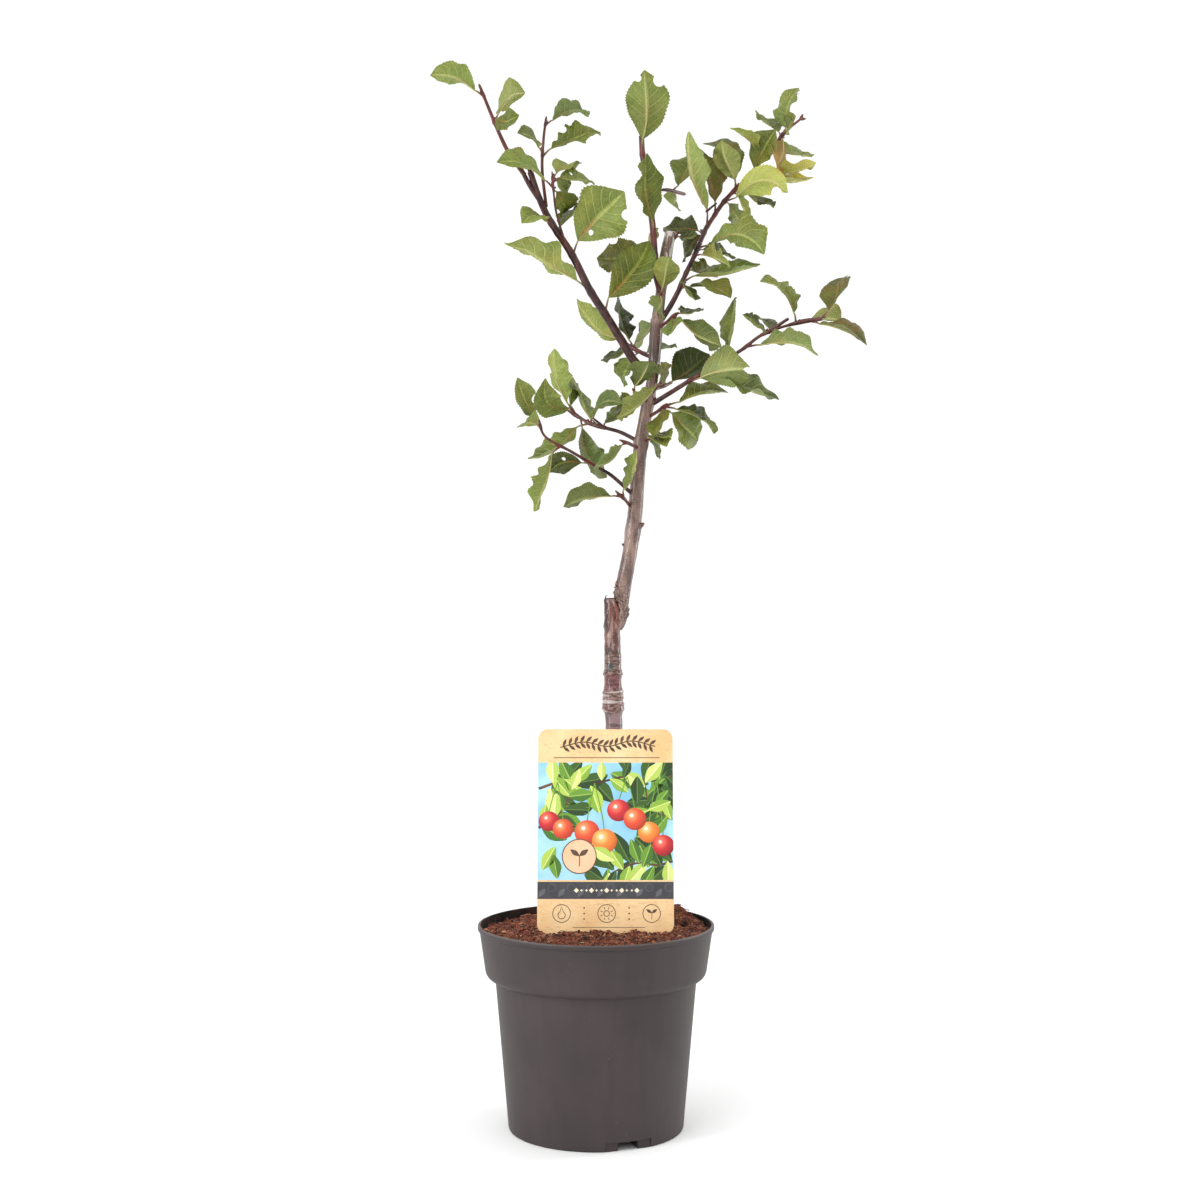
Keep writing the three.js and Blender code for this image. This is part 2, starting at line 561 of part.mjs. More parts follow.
// A leaf has room where its blade keeps clear of every limb and of the leaves of the other masses
function hasRoom(pose, mass) {
  const samples = [0.12, 0.27, 0.42, 0.57, 0.72, 0.87]
    .flatMap((t) => [-1, -0.5, 0, 0.5, 1].map((across) => ({ at: pose.on(t, across), mass })));
  samples.push({ at: pose.tip, mass });
  for (const { at } of samples) {
    if (limbPlaces.some((limb) => at.distanceTo(limb.at) < limb.radius + leafToLimb)) return false;
    const tooNear = (leaf) => at.distanceTo(leaf.at) < (leaf.mass === mass ? leafToOwn : leafToLeaf);
    if (leafPlaces.some(tooNear)) return false;
  }
  leafPlaces.push(...samples);
  return true;
}

// One leaf: a stalk that starts inside its shoot, and a thin folded blade that is thickest along its middle
function leafSolid(pose) {
  const { side: start, face: up } = pose.frame(0);
  const diamond = (middle, radius) => [[start, -1], [up, 1], [start, 1], [up, -1]]
    .map(([way, sign]) => middle.clone().addScaledVector(way, sign * radius));
  const rings = [diamond(pose.root, stalkRadius), diamond(pose.base, stalkRadius * stalkTaper)];
  for (const t of bladeStations) {
    const { face } = pose.frame(t);
    face.multiplyScalar(bladeThickness / 2);
    const rib = pose.on(t, 0);
    rings.push([pose.on(t, -1), rib.clone().add(face), pose.on(t, 1), rib.sub(face)]);
  }
  rings.push([pose.tip]);
  return skinSolid(rings);
}

// The largest body of a solid: what a cut leaves loose is dropped
function wholeOf(solid) {
  return solid.decompose().reduce((a, b) => (b.volume() > a.volume() ? b : a));
}

function massSolid(mass, inTheWay) {
  const pieces = [];
  mass.shoots.forEach((shoot, index) => {
    const curve = curveOf(shoot.route);
    pieces.push(limbSolid(shoot, index === 0 ? limbSides : 3, 2 * (shoot.route.length - 1)));
    for (const row of shoot.leaves) {
      const tone = { breadth: chance(), bow: chance() };
      const poses = depthTries.map((lean) => leafPose(curve, row, tone, lean));
      const pose = poses.find((one) => hasRoom(one, mass));
      if (pose) pieces.push(leafSolid(pose));
    }
  });
  return wholeOf(wasm.Manifold.union(pieces).subtract(inTheWay));
}

const tree = new THREE.Group();
tree.add(asMesh('pot', potSolid(), potPlastic));
tree.add(asMesh('soil', soilSolid(), coir));
tree.add(asMesh('card', cardSolid(0), cardboard));
tree.add(asMesh('trunk', trunkSolid(), bark));

const trunkRoom = trunkSolid(gap);
for (const [name, bough] of Object.entries(boughs)) {
  tree.add(asMesh(name, wholeOf(limbSolid(bough, limbSides, 4).subtract(trunkRoom)), youngBark));
}
for (const [name, mass] of Object.entries(masses)) {
  const before = boughs[mass.from] ?? masses[mass.from]?.shoots[0];
  const room = before ? limbSolid(before, limbSides, 2 * (before.route.length - 1), gap) : trunkRoom;
  tree.add(asMesh(name, massSolid(mass, room), leafGreen));
}

export default tree;
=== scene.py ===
import math

import bpy
import numpy as np
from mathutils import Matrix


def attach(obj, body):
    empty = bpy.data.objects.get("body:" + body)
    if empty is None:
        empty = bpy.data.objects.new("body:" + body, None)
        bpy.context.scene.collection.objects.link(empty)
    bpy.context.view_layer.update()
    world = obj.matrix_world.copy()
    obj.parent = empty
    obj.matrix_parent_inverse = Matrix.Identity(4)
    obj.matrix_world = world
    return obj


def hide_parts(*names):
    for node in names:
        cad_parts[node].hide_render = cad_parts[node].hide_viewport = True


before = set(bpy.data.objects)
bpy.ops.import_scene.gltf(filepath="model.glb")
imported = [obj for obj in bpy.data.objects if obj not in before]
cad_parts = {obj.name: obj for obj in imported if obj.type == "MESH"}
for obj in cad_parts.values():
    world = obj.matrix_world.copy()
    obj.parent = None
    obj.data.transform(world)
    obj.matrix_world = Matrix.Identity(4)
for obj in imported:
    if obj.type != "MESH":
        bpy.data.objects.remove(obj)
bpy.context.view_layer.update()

# The view. A camera with a longish lens stands level in front of the pot, a little above the middle of the
# tree, so that the rim is seen from just above.
camera_lens, camera_place = 53.25, (0.0037, -1.654, 0.490)
camera_data = bpy.data.cameras.new("camera")
camera_data.lens = camera_lens
camera = bpy.data.objects.new("camera", camera_data)
camera.location = camera_place
camera.rotation_euler = (math.pi / 2, 0, 0)
bpy.context.scene.collection.objects.link(camera)
bpy.context.scene.camera = camera
bpy.context.scene.view_settings.view_transform = "Standard"

# The studio. A white floor under an even white sky, a broad lamp above the camera's left, and a tall soft
# lamp on each side that draws the bright lines on the bark.
sky_strength = 1.06
floor_half, floor_white, floor_roughness = 9.0, (0.965, 0.972, 0.966, 1), 0.9
lamps = {
    "key_lamp": {"at": (-1.2, -1.9, 2.3), "size": (1.4, 1.1), "power": 19},
    "left_lamp": {"at": (-1.65, -1.2, 0.9), "size": (0.25, 1.7), "power": 15},
    "right_lamp": {"at": (1.9, 0.5, 0.9), "size": (0.3, 1.7), "power": 13},
}
aim_height = 0.5

sky = bpy.data.worlds.new("sky")
sky.use_nodes = True
sky.node_tree.nodes["Background"].inputs["Color"].default_value = (1, 1, 1, 1)
sky.node_tree.nodes["Background"].inputs["Strength"].default_value = sky_strength
bpy.context.scene.world = sky

floor_corners = [(x * floor_half, y * floor_half, 0) for x, y in ((-1, -1), (1, -1), (1, 1), (-1, 1))]
floor_mesh = bpy.data.meshes.new("floor")
floor_mesh.from_pydata(floor_corners, [], [(0, 1, 2, 3)])
floor = bpy.data.objects.new("floor", floor_mesh)
bpy.context.scene.collection.objects.link(floor)
floor_paint = bpy.data.materials.new("floor_paint")
floor_paint.use_nodes = True
floor_shader = floor_paint.node_tree.nodes["Principled BSDF"]
floor_shader.inputs["Base Color"].default_value = floor_white
floor_shader.inputs["Roughness"].default_value = floor_roughness
floor_mesh.materials.append(floor_paint)

for name, lamp in lamps.items():
    light = bpy.data.lights.new(name, "AREA")
    light.shape = "RECTANGLE"
    light.size, light.size_y = lamp["size"]
    light.energy = lamp["power"]
    stand = bpy.data.objects.new(name, light)
    stand.location = lamp["at"]
    away = stand.location.copy()
    away.z -= aim_height
    stand.rotation_euler = away.to_track_quat("Z", "Y").to_euler()
    bpy.context.scene.collection.objects.link(stand)


# The pot. A nursery pot of thin dark plastic, moulded in one piece, with a plain tapered wall, a wider
# collar under a small rounded rim, and three drain notches at its foot.
rim_radius, pot_height = 110, 188.8
foot_radius, wall_top_radius, step_height = 81.5, 93.6, 138
collar_low_radius, collar_high_radius, collar_height = 103.2, 108.3, 148
rim_band_height, rim_underside, rim_bevel = 5.3, 1.6, 1
foot_bevel, floor_bevel = 2, 1.2
pot_wall, pot_floor = 1.8, 2.2
step_outside = [(95.2, 138.6), (98.6, 140.4), (100.9, 142.2), (102.3, 144.4), (102.9, 146.2)]
step_inside = [(100, 145.6), (96.6, 142.2)]
inner_step_height = 139.8
floor_ring, corner_ease = 40, 0.3
# The height above which the pot's inner wall is painted dark as shade
inner_shade_height = 60
pot_sides = 160
notch_count, notch_turn = 3, 21.6
notch_width, notch_height, notch_plane, notch_wall = 44, 8.5, 77.5, 6
channel_width, channel_height, channel_start, channel_wall = 19, 8, 30, 2


class Tone:
    """A value or colour inside a material. Sums on it add the nodes that work them out."""

    def __init__(self, paint, socket):
        self.paint = paint
        self.socket = socket

    def sum(self, operation, *values):
        return self.paint.node("ShaderNodeMath", {"operation": operation}, dict(enumerate(values)))

    def __add__(self, other):
        return self.sum("ADD", self, other)

    def __radd__(self, other):
        return self.sum("ADD", other, self)

    def __sub__(self, other):
        return self.sum("SUBTRACT", self, other)

    def __rsub__(self, other):
        return self.sum("SUBTRACT", other, self)

    def __mul__(self, other):
        return self.sum("MULTIPLY", self, other)

    def __rmul__(self, other):
        return self.sum("MULTIPLY", other, self)

    def __pow__(self, other):
        return self.sum("POWER", self, other)

    def __abs__(self):
        return self.sum("ABSOLUTE", self)

    def sine(self):
        return self.sum("SINE", self)

    def between(self, low, high):
        """0 below low, 1 above high, with a smooth change from one to the other"""
        return self.paint.node("ShaderNodeMapRange", {"interpolation_type": "SMOOTHSTEP"},
                               {"Value": self, "From Min": low, "From Max": high})


def colour(code):
    """A colour as the eye reads it, written in six hexadecimal digits, as linear light"""
    parts = [int(code[i:i + 2], 16) / 255 for i in (0, 2, 4)]
    return tuple(c / 12.92 if c < 0.04045 else ((c + 0.055) / 1.055) ** 2.4 for c in parts) + (1,)


class Paint:
    """A material, with one method for every node in it; coat is a clear coat's weight and roughness"""

    def __init__(self, name, base, roughness, shine=None, coat=None):
        self.material = bpy.data.materials.new(name)
        self.material.use_nodes = True
        self.tree = self.material.node_tree
        self.shader = self.tree.nodes["Principled BSDF"]
        self.set("Base Color", colour(base))
        self.set("Roughness", roughness)
        if shine is not None:
            self.set("Specular IOR Level", shine)
        if coat:
            self.set("Coat Weight", coat[0])
            self.set("Coat Roughness", coat[1])

    def set(self, socket, value):
        if isinstance(value, Tone):
            self.tree.links.new(value.socket, self.shader.inputs[socket])
        else:
            self.shader.inputs[socket].default_value = value

    def node(self, kind, settings, sockets, out=0):
        made = self.tree.nodes.new(kind)
        for name, value in settings.items():
            if name == "stops":
                while len(made.color_ramp.elements) < len(value):
                    made.color_ramp.elements.new(0.5)
                for element, (place, shade) in zip(made.color_ramp.elements, value):
                    element.position = place
                    element.color = shade
            else:
                setattr(made, name, value)
        for name, value in sockets.items():
            if isinstance(value, Tone):
                self.tree.links.new(value.socket, made.inputs[name])
            else:
                made.inputs[name].default_value = value
        return Tone(self, made.outputs[out])

    def place(self, stretch=(1, 1, 1)):
        """Where a point lies on the object, in metres, stretched along each axis"""
        at = self.node("ShaderNodeTexCoord", {}, {}, "Object")
        return self.node("ShaderNodeVectorMath", {"operation": "MULTIPLY"}, {0: at, 1: stretch})

    def axis(self, letter, at=None):
        """One axis of a place, which is the place on the object where none is given"""
        return self.node("ShaderNodeSeparateXYZ", {}, {"Vector": at or self.place()}, letter)

    def on_map(self, name):
        return self.node("ShaderNodeUVMap", {"uv_map": name}, {})

    def noise(self, scale, detail=3, stretch=(1, 1, 1)):
        return self.node("ShaderNodeTexNoise", {}, {
            "Vector": self.place(stretch), "Scale": scale, "Detail": detail})

    def mix(self, share, first, second, way="MIX"):
        return self.node("ShaderNodeMix", {"data_type": "RGBA", "blend_type": way},
                         {0: share, 6: first, 7: second}, 2)

    def relief(self, height, depth, strength=1.0):
        """Raises the surface by up to depth metres where height is 1"""
        self.set("Normal", self.node("ShaderNodeBump", {}, {
            "Height": height, "Distance": depth, "Strength": strength}))


def shaped(name, places, faces):
    """An object in the scene, from places in millimetres"""
    mesh = bpy.data.meshes.new(name)
    mesh.from_pydata((np.asarray(places, float) / 1000).tolist(), [], faces)
    shape = bpy.data.objects.new(name, mesh)
    bpy.context.scene.collection.objects.link(shape)
    return shape


def put(name, places, faces, paints, slot, replaced=(), which=None, crease=40, maps=None):
    """A finished piece, that rides on the tree's one body"""
    piece = shaped(name, places, faces)
    mesh = piece.data
    for paint in paints:
        mesh.materials.append(paint.material)
    if which is not None:
        mesh.polygons.foreach_set("material_index", which)
    for map_name, corners in (maps or {}).items():
        layer = mesh.uv_layers.new(name=map_name)
        layer.data.foreach_set("uv", np.asarray(corners, np.float32).ravel())
    mesh.polygons.foreach_set("use_smooth", [True] * len(mesh.polygons))
    mesh.set_sharp_from_angle(angle=math.radians(crease))
    mesh.validate()
    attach(piece, "root")
    if replaced:
        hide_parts(*replaced)


def all_round(count):
    """Even turns about an axis, in radians"""
    return np.arange(count) * 2 * math.pi / count


def walls(rings, sides, start=0):
    """The faces between rings of places that follow each other from start"""
    faces = []
    for k in range(rings - 1):
        low, high = start + k * sides, start + (k + 1) * sides
        faces += [(low + i, low + (i + 1) % sides, high + (i + 1) % sides, high + i) for i in range(sides)]
    return faces


def closed_walls(rings, sides, foot, lid, start=0):
    """Walls that a fan of faces closes to foot under the first ring, and to lid over the last"""
    end = start + (rings - 1) * sides
    return (walls(rings, sides, start)
            + [(foot, start + (i + 1) % sides, start + i) for i in range(sides)]
            + [(lid, end + i, end + (i + 1) % sides) for i in range(sides)])


def turned(profile, sides):
    """A body turned round the upright axis, from (radius, height) pairs of which the ends lie on it"""
    places = [(0, 0, profile[0][1])]
    for radius, height in profile[1:-1]:
        places += [(radius * math.sin(turn), -radius * math.cos(turn), height) for turn in all_round(sides)]
    places.append((0, 0, profile[-1][1]))
    return places, closed_walls(len(profile) - 2, sides, 0, len(places) - 1, start=1)


def boxes_at_notches(width, inner, outer, low, high):
    """A box from inner to outer radius at each drain notch"""
    places, faces = [], []
    for i in range(notch_count):
        turn = math.radians(notch_turn + 360 / notch_count * i)
        start = len(places)
        for x in (-width / 2, width / 2):
            for y in (-outer, -inner):
                for z in (low, high):
                    places.append((x * math.cos(turn) - y * math.sin(turn),
                                   x * math.sin(turn) + y * math.cos(turn), z))
        faces += [tuple(start + k for k in side) for side in (
            (0, 1, 3, 2), (4, 6, 7, 5), (0, 4, 5, 1), (2, 3, 7, 6), (0, 2, 6, 4), (1, 5, 7, 3))]
    return places, faces


def combine(shape, operation, other):
    """Joins other to shape, cuts it out or keeps what they share, and removes it"""
    step = shape.modifiers.new(operation, "BOOLEAN")
    step.operation = operation
    step.solver = "EXACT"
    step.object = other
    bpy.context.view_layer.update()
    result = bpy.data.meshes.new_from_object(
        shape.evaluated_get(bpy.context.evaluated_depsgraph_get()))
    shape.modifiers.clear()
    shape.data = result
    bpy.data.objects.remove(other)


# Each corner has a small step beside it, so that the light runs round it as on moulded plastic
collar_top = pot_height - rim_band_height
pot_outside = [
    (0, 0), (floor_ring, 0), (foot_radius - foot_bevel, 0), (foot_radius - 0.6, 0.6),
    (foot_radius, foot_bevel), (foot_radius + 0.09, 3),
    (wall_top_radius - 0.1, step_height - 1.2), (wall_top_radius, step_height),
    *step_outside, (collar_low_radius, collar_height), (collar_low_radius + 0.13, collar_height + 1),
    (collar_high_radius - 0.1, collar_top - 0.8), (collar_high_radius, collar_top),
    (collar_high_radius + 0.7, collar_top + 0.4), (rim_radius - 0.3, collar_top + rim_underside - 0.6),
    (rim_radius, collar_top + rim_underside), (rim_radius, pot_height - rim_bevel),
    (rim_radius - corner_ease, pot_height - corner_ease), (rim_radius - rim_bevel, pot_height),
]
pot_inside = [
    (collar_high_radius - pot_wall + rim_bevel, pot_height),
    (collar_high_radius - pot_wall + 0.2, pot_height - corner_ease),
    (collar_high_radius - pot_wall, pot_height - rim_bevel), (collar_low_radius - pot_wall, collar_height),
    *step_inside, (wall_top_radius - pot_wall, inner_step_height),
    (foot_radius - pot_wall, pot_floor + floor_bevel), (foot_radius - pot_wall - floor_bevel, pot_floor),
    (floor_ring, pot_floor), (0, pot_floor),
]
mid_wall = pot_wall / 2
pot_core = [
    (0, pot_floor / 4), (foot_radius - mid_wall, pot_floor), (wall_top_radius - mid_wall, step_height),
    (0, step_height),
]
cover = notch_plane - notch_wall
covers = shaped("covers", *boxes_at_notches(
    channel_width + 2 * channel_wall, channel_start - channel_wall, rim_radius, pot_floor / 2,
    channel_height + channel_wall))
combine(covers, "UNION", shaped("notch_covers", *boxes_at_notches(
    notch_width, cover, rim_radius, pot_floor / 2, notch_height + channel_wall)))
combine(covers, "INTERSECT", shaped("core", *turned(pot_core, pot_sides)))
shell = shaped("shell", *turned(pot_outside + pot_inside, pot_sides))
combine(shell, "UNION", covers)
combine(shell, "DIFFERENCE", shaped("channels", *boxes_at_notches(
    channel_width, channel_start, rim_radius, -1, channel_height)))
combine(shell, "DIFFERENCE", shaped("notches", *boxes_at_notches(
    notch_width, notch_plane, rim_radius, -1, notch_height)))

pot_plastic = Paint("pot_plastic", "3e3737", 0.5, shine=0.3)
cloudy = pot_plastic.noise(14, 4)
streaks = pot_plastic.noise(90, 3, stretch=(1, 1, 0.12))
dust = pot_plastic.noise(900, 2).between(0.70, 0.78) * pot_plastic.noise(35, 2).between(0.45, 0.7)
# A thin pale line along the rim's top edge, a little glossier: a painted highlight where the rounded lip
# meets the light
rim_highlight = pot_plastic.axis("Z").between(0.1872, 0.1884)
body = pot_plastic.mix(cloudy.between(0.35, 0.65), colour("383030"), colour("403737"))
body = pot_plastic.mix(streaks.between(0.4, 0.7) * 0.18, body, colour("302929"))
body = pot_plastic.mix(rim_highlight * 0.6, body, colour("5d5453"))
body = pot_plastic.mix(dust * 0.6, body, colour("968b83"))
pot_plastic.set("Base Color", body)
pot_plastic.set("Roughness", 0.46 + 0.16 * cloudy - 0.08 * rim_highlight)
pot_plastic.relief(pot_plastic.noise(420, 3) * 0.6 + streaks * 0.4, 0.00022, 0.5)

# The inner wall, above a set height, is painted near black with soil-brown patches: painted shade for the
# dark inside of the pot
inner_shade_plastic = Paint("inner_shade_plastic", "1c1716", 0.85, shine=0.15)
inner_shade_plastic.set("Base Color", inner_shade_plastic.mix(
    inner_shade_plastic.noise(120, 4).between(0.45, 0.7), colour("161212"), colour("35221b")))
inner_shade_plastic.relief(inner_shade_plastic.noise(500, 3), 0.0003)
sides = shell.data.polygons
inner_shaded = [int(side.center.z > inner_shade_height / 1000 and side.normal.xy.dot(side.center.xy) < -0.02)
           for side in sides]
put("pot_shell", [1000 * corner.co for corner in shell.data.vertices],
    [tuple(side.vertices) for side in sides], [pot_plastic, inner_shade_plastic], "pot_plastic", ["pot"],
    inner_shaded, crease=35)
bpy.data.objects.remove(shell)


# The soil. Coarse coir that was pressed in by hand: a red-brown heap with lumps, darker crumbs and a felt
# of short fibres, some of them on the rim. A mound is (x, y, rise, spread) and a hill (rise, size, seed).
soil_edge_height, soil_rise, soil_lump = 183, 6.5, 1.1
soil_mounds = [(80, 50, 13.5, 15), (-78, 55, -4, 30), (17.6, 4, 3, 16), (-30, -66, 2, 8), (12, -68, 2.4, 8),
               (44, -64, 2, 7)]
soil_floor, soil_below_rim = 152, 2.5
soil_radius, ring_count, turn_count = 105.2, 60, 150
hill_sizes = [(1.0, 11, 1), (0.8, 5, 2)]
wall_side, wall_ease = 92, 14
crumb_count, crumb_reach, crumb_kinds = 2200, 103, (0.35, 0.58, 0.07)
small_crumb, large_crumb, small_share = (0.4, 1.0), (1.0, 2.4), 0.85
fibre_count, fibre_reach, fibre_kinds = 6000, 101, (0.2, 0.55, 0.25)
fibre_length, fibre_thickness, fibre_rise = (3, 13), (0.15, 0.42), (0.2, 3.8)
# Litter on the rim: from and to which turn in degrees, how much, and the kind of its fibres
rim_litter_radius = 107.6
rim_litter = [(-118, -96, 26, 1), (-98, -62, 16, 1), (152, 201, 14, 1), (-164, -155, 22, 0)]
chance = np.random.default_rng(7)


def ripple(axes, size, seed, waves=10):
    """Smooth random hills between about -1 and 1, as wide as size"""
    draw = np.random.default_rng(seed)
    total = np.zeros(np.broadcast(*axes).shape)
    for _ in range(waves):
        toward = draw.normal(0, 1, len(axes))
        pitch = toward / np.linalg.norm(toward) * 2 * math.pi / (size * draw.uniform(0.7, 1.6))
        total += np.sin(sum(p * axis for p, axis in zip(pitch, axes)) + draw.uniform(0, 2 * math.pi))
    return total / math.sqrt(waves)


def soil_height(x, y):
    lumps = soil_lump * (np.sin(x * 0.21 + y * 0.13) + np.sin(y * 0.27 - x * 0.11))
    height = soil_edge_height + soil_rise * (1 - (x * x + y * y) / rim_radius ** 2) + lumps
    for at_x, at_y, extra, spread in soil_mounds:
        height = height + extra * np.exp(-((x - at_x) ** 2 + (y - at_y) ** 2) / (2 * spread ** 2))
    for rise, size, seed in hill_sizes:
        height = height + rise * ripple((x, y), size, seed)
    near_wall = np.clip((np.hypot(x, y) - wall_side) / wall_ease, 0, 1)
    return height * (1 - near_wall) + np.minimum(height, pot_height - soil_below_rim) * near_wall


class Heap:
    """Many small closed meshes that are joined as one piece"""

    def __init__(self):
        self.count = 0
        self.places = []
        self.faces = []
        self.which = []
        self.maps = {}

    def add(self, places, faces, which=0, maps=None):
        self.places.append(np.asarray(places, float))
        self.faces += [tuple(int(k) + self.count for k in face) for face in faces]
        self.which += [which] * len(faces) if isinstance(which, int) else list(which)
        self.count += len(places)
        for name, corners in (maps or {}).items():
            self.maps.setdefault(name, []).append(corners)

    def put(self, name, paints, slot, replaced=(), crease=40):
        maps = {key: np.concatenate(parts) for key, parts in self.maps.items()}
        put(name, np.concatenate(self.places), self.faces, paints, slot, replaced, self.which, crease, maps)


def unit(vectors):
    return vectors / np.maximum(np.linalg.norm(vectors, axis=-1, keepdims=True), 1e-12)


def rings_round(middles, radii, right, front, turns):
    """A ring of places round each middle, with one radius to a ring or one to a place"""
    around = right[:, None] * np.cos(turns)[:, None] + front[:, None] * np.sin(turns)[:, None]
    return middles[:, None] + radii[..., None] * around


def tube(middles, radii, sides, blunt=0.5):
    """A closed tube through middles, whose ends close to a point blunt radii beyond them"""
    middles = np.asarray(middles, float)
    radii = np.broadcast_to(np.asarray(radii, float), len(middles))
    along = unit(np.gradient(middles, axis=0))
    across = np.array([0, 1.0, 0]) if abs(along[len(along) // 2][1]) < 0.8 else np.array([1.0, 0, 0])
    right = unit(np.cross(across, along))
    front = np.cross(along, right)
    rings = rings_round(middles, radii[:, None], right, front, all_round(sides)).reshape(-1, 3)
    places = np.vstack([rings, middles[0] - along[0] * radii[0] * blunt,
                        middles[-1] + along[-1] * radii[-1] * blunt])
    return places, closed_walls(len(middles), sides, len(rings), len(rings) + 1)


radii = soil_radius * np.linspace(0, 1, ring_count + 1)[1:]
around_x = radii[:, None] * np.cos(all_round(turn_count))
around_y = radii[:, None] * np.sin(all_round(turn_count))
top_rings = np.stack([around_x, around_y, soil_height(around_x, around_y)], axis=-1)
top_rings[-1, :, 2] = np.minimum(top_rings[-1, :, 2], pot_height - soil_below_rim - 1)
low_ring = np.stack([0.955 * around_x[-1], 0.955 * around_y[-1], np.full(turn_count, soil_floor)], axis=-1)
soil_places = np.vstack([[(0, 0, float(soil_height(0, 0)))], top_rings.reshape(-1, 3), low_ring,
                         [(0, 0, soil_floor)]])
soil_faces = [(0, 1 + i, 1 + (i + 1) % turn_count) for i in range(turn_count)]
for k in range(ring_count):
    inner, outer = 1 + k * turn_count, 1 + (k + 1) * turn_count
    soil_faces += [(inner + i, outer + i, outer + (i + 1) % turn_count, inner + (i + 1) % turn_count)
                   for i in range(turn_count)]
bottom = len(soil_places) - 1
soil_faces += [(bottom, bottom - turn_count + (i + 1) % turn_count, bottom - turn_count + i)
               for i in range(turn_count)]

coir = Paint("coir", "5f3a2b", 0.95)
clods = coir.noise(120, 4)
grains = coir.noise(620, 3)
# The coir runs from near black in the hollows of its relief, painted shade between the clods, through dark
# and red-brown coir to pale tops
coir_stops = [(place, colour(code)) for place, code in (
    (0.39, "140804"), (0.47, "45211a"), (0.56, "80482f"), (0.68, "b88260"))]
coir.set("Base Color", coir.node("ShaderNodeValToRGB", {"stops": coir_stops},
                                 {"Fac": clods * 0.45 + grains * 0.55}))
coir.relief(grains * 0.5 + clods * 0.5, 0.0018)
put("soil_heap", soil_places, soil_faces, [coir], "soil", ["soil"], crease=80)


def mottled(paint, low, high, spots, spread, grain, depth):
    """Two shades in soft spots over a fine grain"""
    share = paint.noise(spots, 3).between(0.5 - spread, 0.5 + spread)
    paint.set("Base Color", paint.mix(share, colour(low), colour(high)))
    paint.relief(grain, depth)
    return paint


litter_paints = []
for name, base, roughness, low, high in (("dark_crumb", "3a2019", 0.95, "1a0b08", "38190f"),
                                         ("red_crumb", "70402f", 0.95, "5e2717", "9a5238"),
                                         ("pale_fibre", "a8765a", 0.9, "935c3c", "c8946c")):
    paint = Paint(name, base, roughness)
    litter_paints.append(mottled(paint, low, high, 300, 0.15, paint.noise(1500, 2), 0.0004))

golden = (1 + math.sqrt(5)) / 2
crumb_corners = np.array([(a, b * golden, 0) for a in (-1, 1) for b in (-1, 1)]
                         + [(0, a, b * golden) for a in (-1, 1) for b in (-1, 1)]
                         + [(a * golden, 0, b) for a in (-1, 1) for b in (-1, 1)]) / math.hypot(1, golden)
crumb_faces = []
for i in range(12):
    for j in range(i + 1, 12):
        for k in range(j + 1, 12):
            a, b, c = crumb_corners[i], crumb_corners[j], crumb_corners[k]
            if max(np.linalg.norm(a - b), np.linalg.norm(b - c), np.linalg.norm(c - a)) < 1.1:
                crumb_faces.append((i, j, k) if np.dot(np.cross(b - a, c - a), a) > 0 else (i, k, j))


def crumb(at, size):
    shape = crumb_corners * size * chance.uniform(0.6, 1.25, (12, 1)) * chance.uniform(0.6, 1.3, 3)
    return shape + at, crumb_faces


def fibre(at, length, thick, rise):
    turn = chance.uniform(0, 2 * math.pi)
    steps = np.linspace(0, 1, 4)
    bend = chance.uniform(-1.4, 1.4)
    headings = turn + bend * steps
    steps_on = np.stack([np.cos(headings), np.sin(headings), np.zeros(4)], axis=1)
    line = np.cumsum(steps_on, axis=0) * length / 4
    line[:, 2] = rise * np.sin(math.pi * (0.1 + 0.8 * steps)) - 0.3
    return tube(at + line - line[1], thick * np.array([0.6, 1, 1, 0.4]), 3)


def on_soil(reach):
    """A place on the heap, anywhere up to reach from its middle"""
    radius, turn = reach * math.sqrt(chance.uniform(0, 1)), chance.uniform(0, 2 * math.pi)
    x, y = radius * math.cos(turn), radius * math.sin(turn)
    return np.array([x, y, float(soil_height(x, y))])


litter = Heap()
for _ in range(crumb_count):
    at = on_soil(crumb_reach)
    size = chance.uniform(*(small_crumb if chance.uniform() < small_share else large_crumb))
    at[2] -= 0.1 * size
    litter.add(*crumb(at, size), which=int(chance.choice(3, p=crumb_kinds)))
for _ in range(fibre_count):
    at = on_soil(fibre_reach)
    sizes = [chance.uniform(*span) for span in (fibre_length, fibre_thickness, fibre_rise)]
    litter.add(*fibre(at, *sizes), which=int(chance.choice(3, p=fibre_kinds)))
for first, last, count, kind in rim_litter:
    for _ in range(count):
        turn = math.radians(chance.uniform(first, last))
        at = np.array([rim_litter_radius * math.cos(turn), rim_litter_radius * math.sin(turn),
                       pot_height + 0.1])
        if chance.uniform() < 0.6:
            litter.add(*crumb(at, chance.uniform(0.35, 0.9)), which=int(chance.integers(0, 2)))
        else:
            litter.add(*fibre(at, chance.uniform(3, 7), 0.16, chance.uniform(0.6, 2.2)), which=kind)
litter.put("soil_litter", litter_paints, "soil", crease=60)


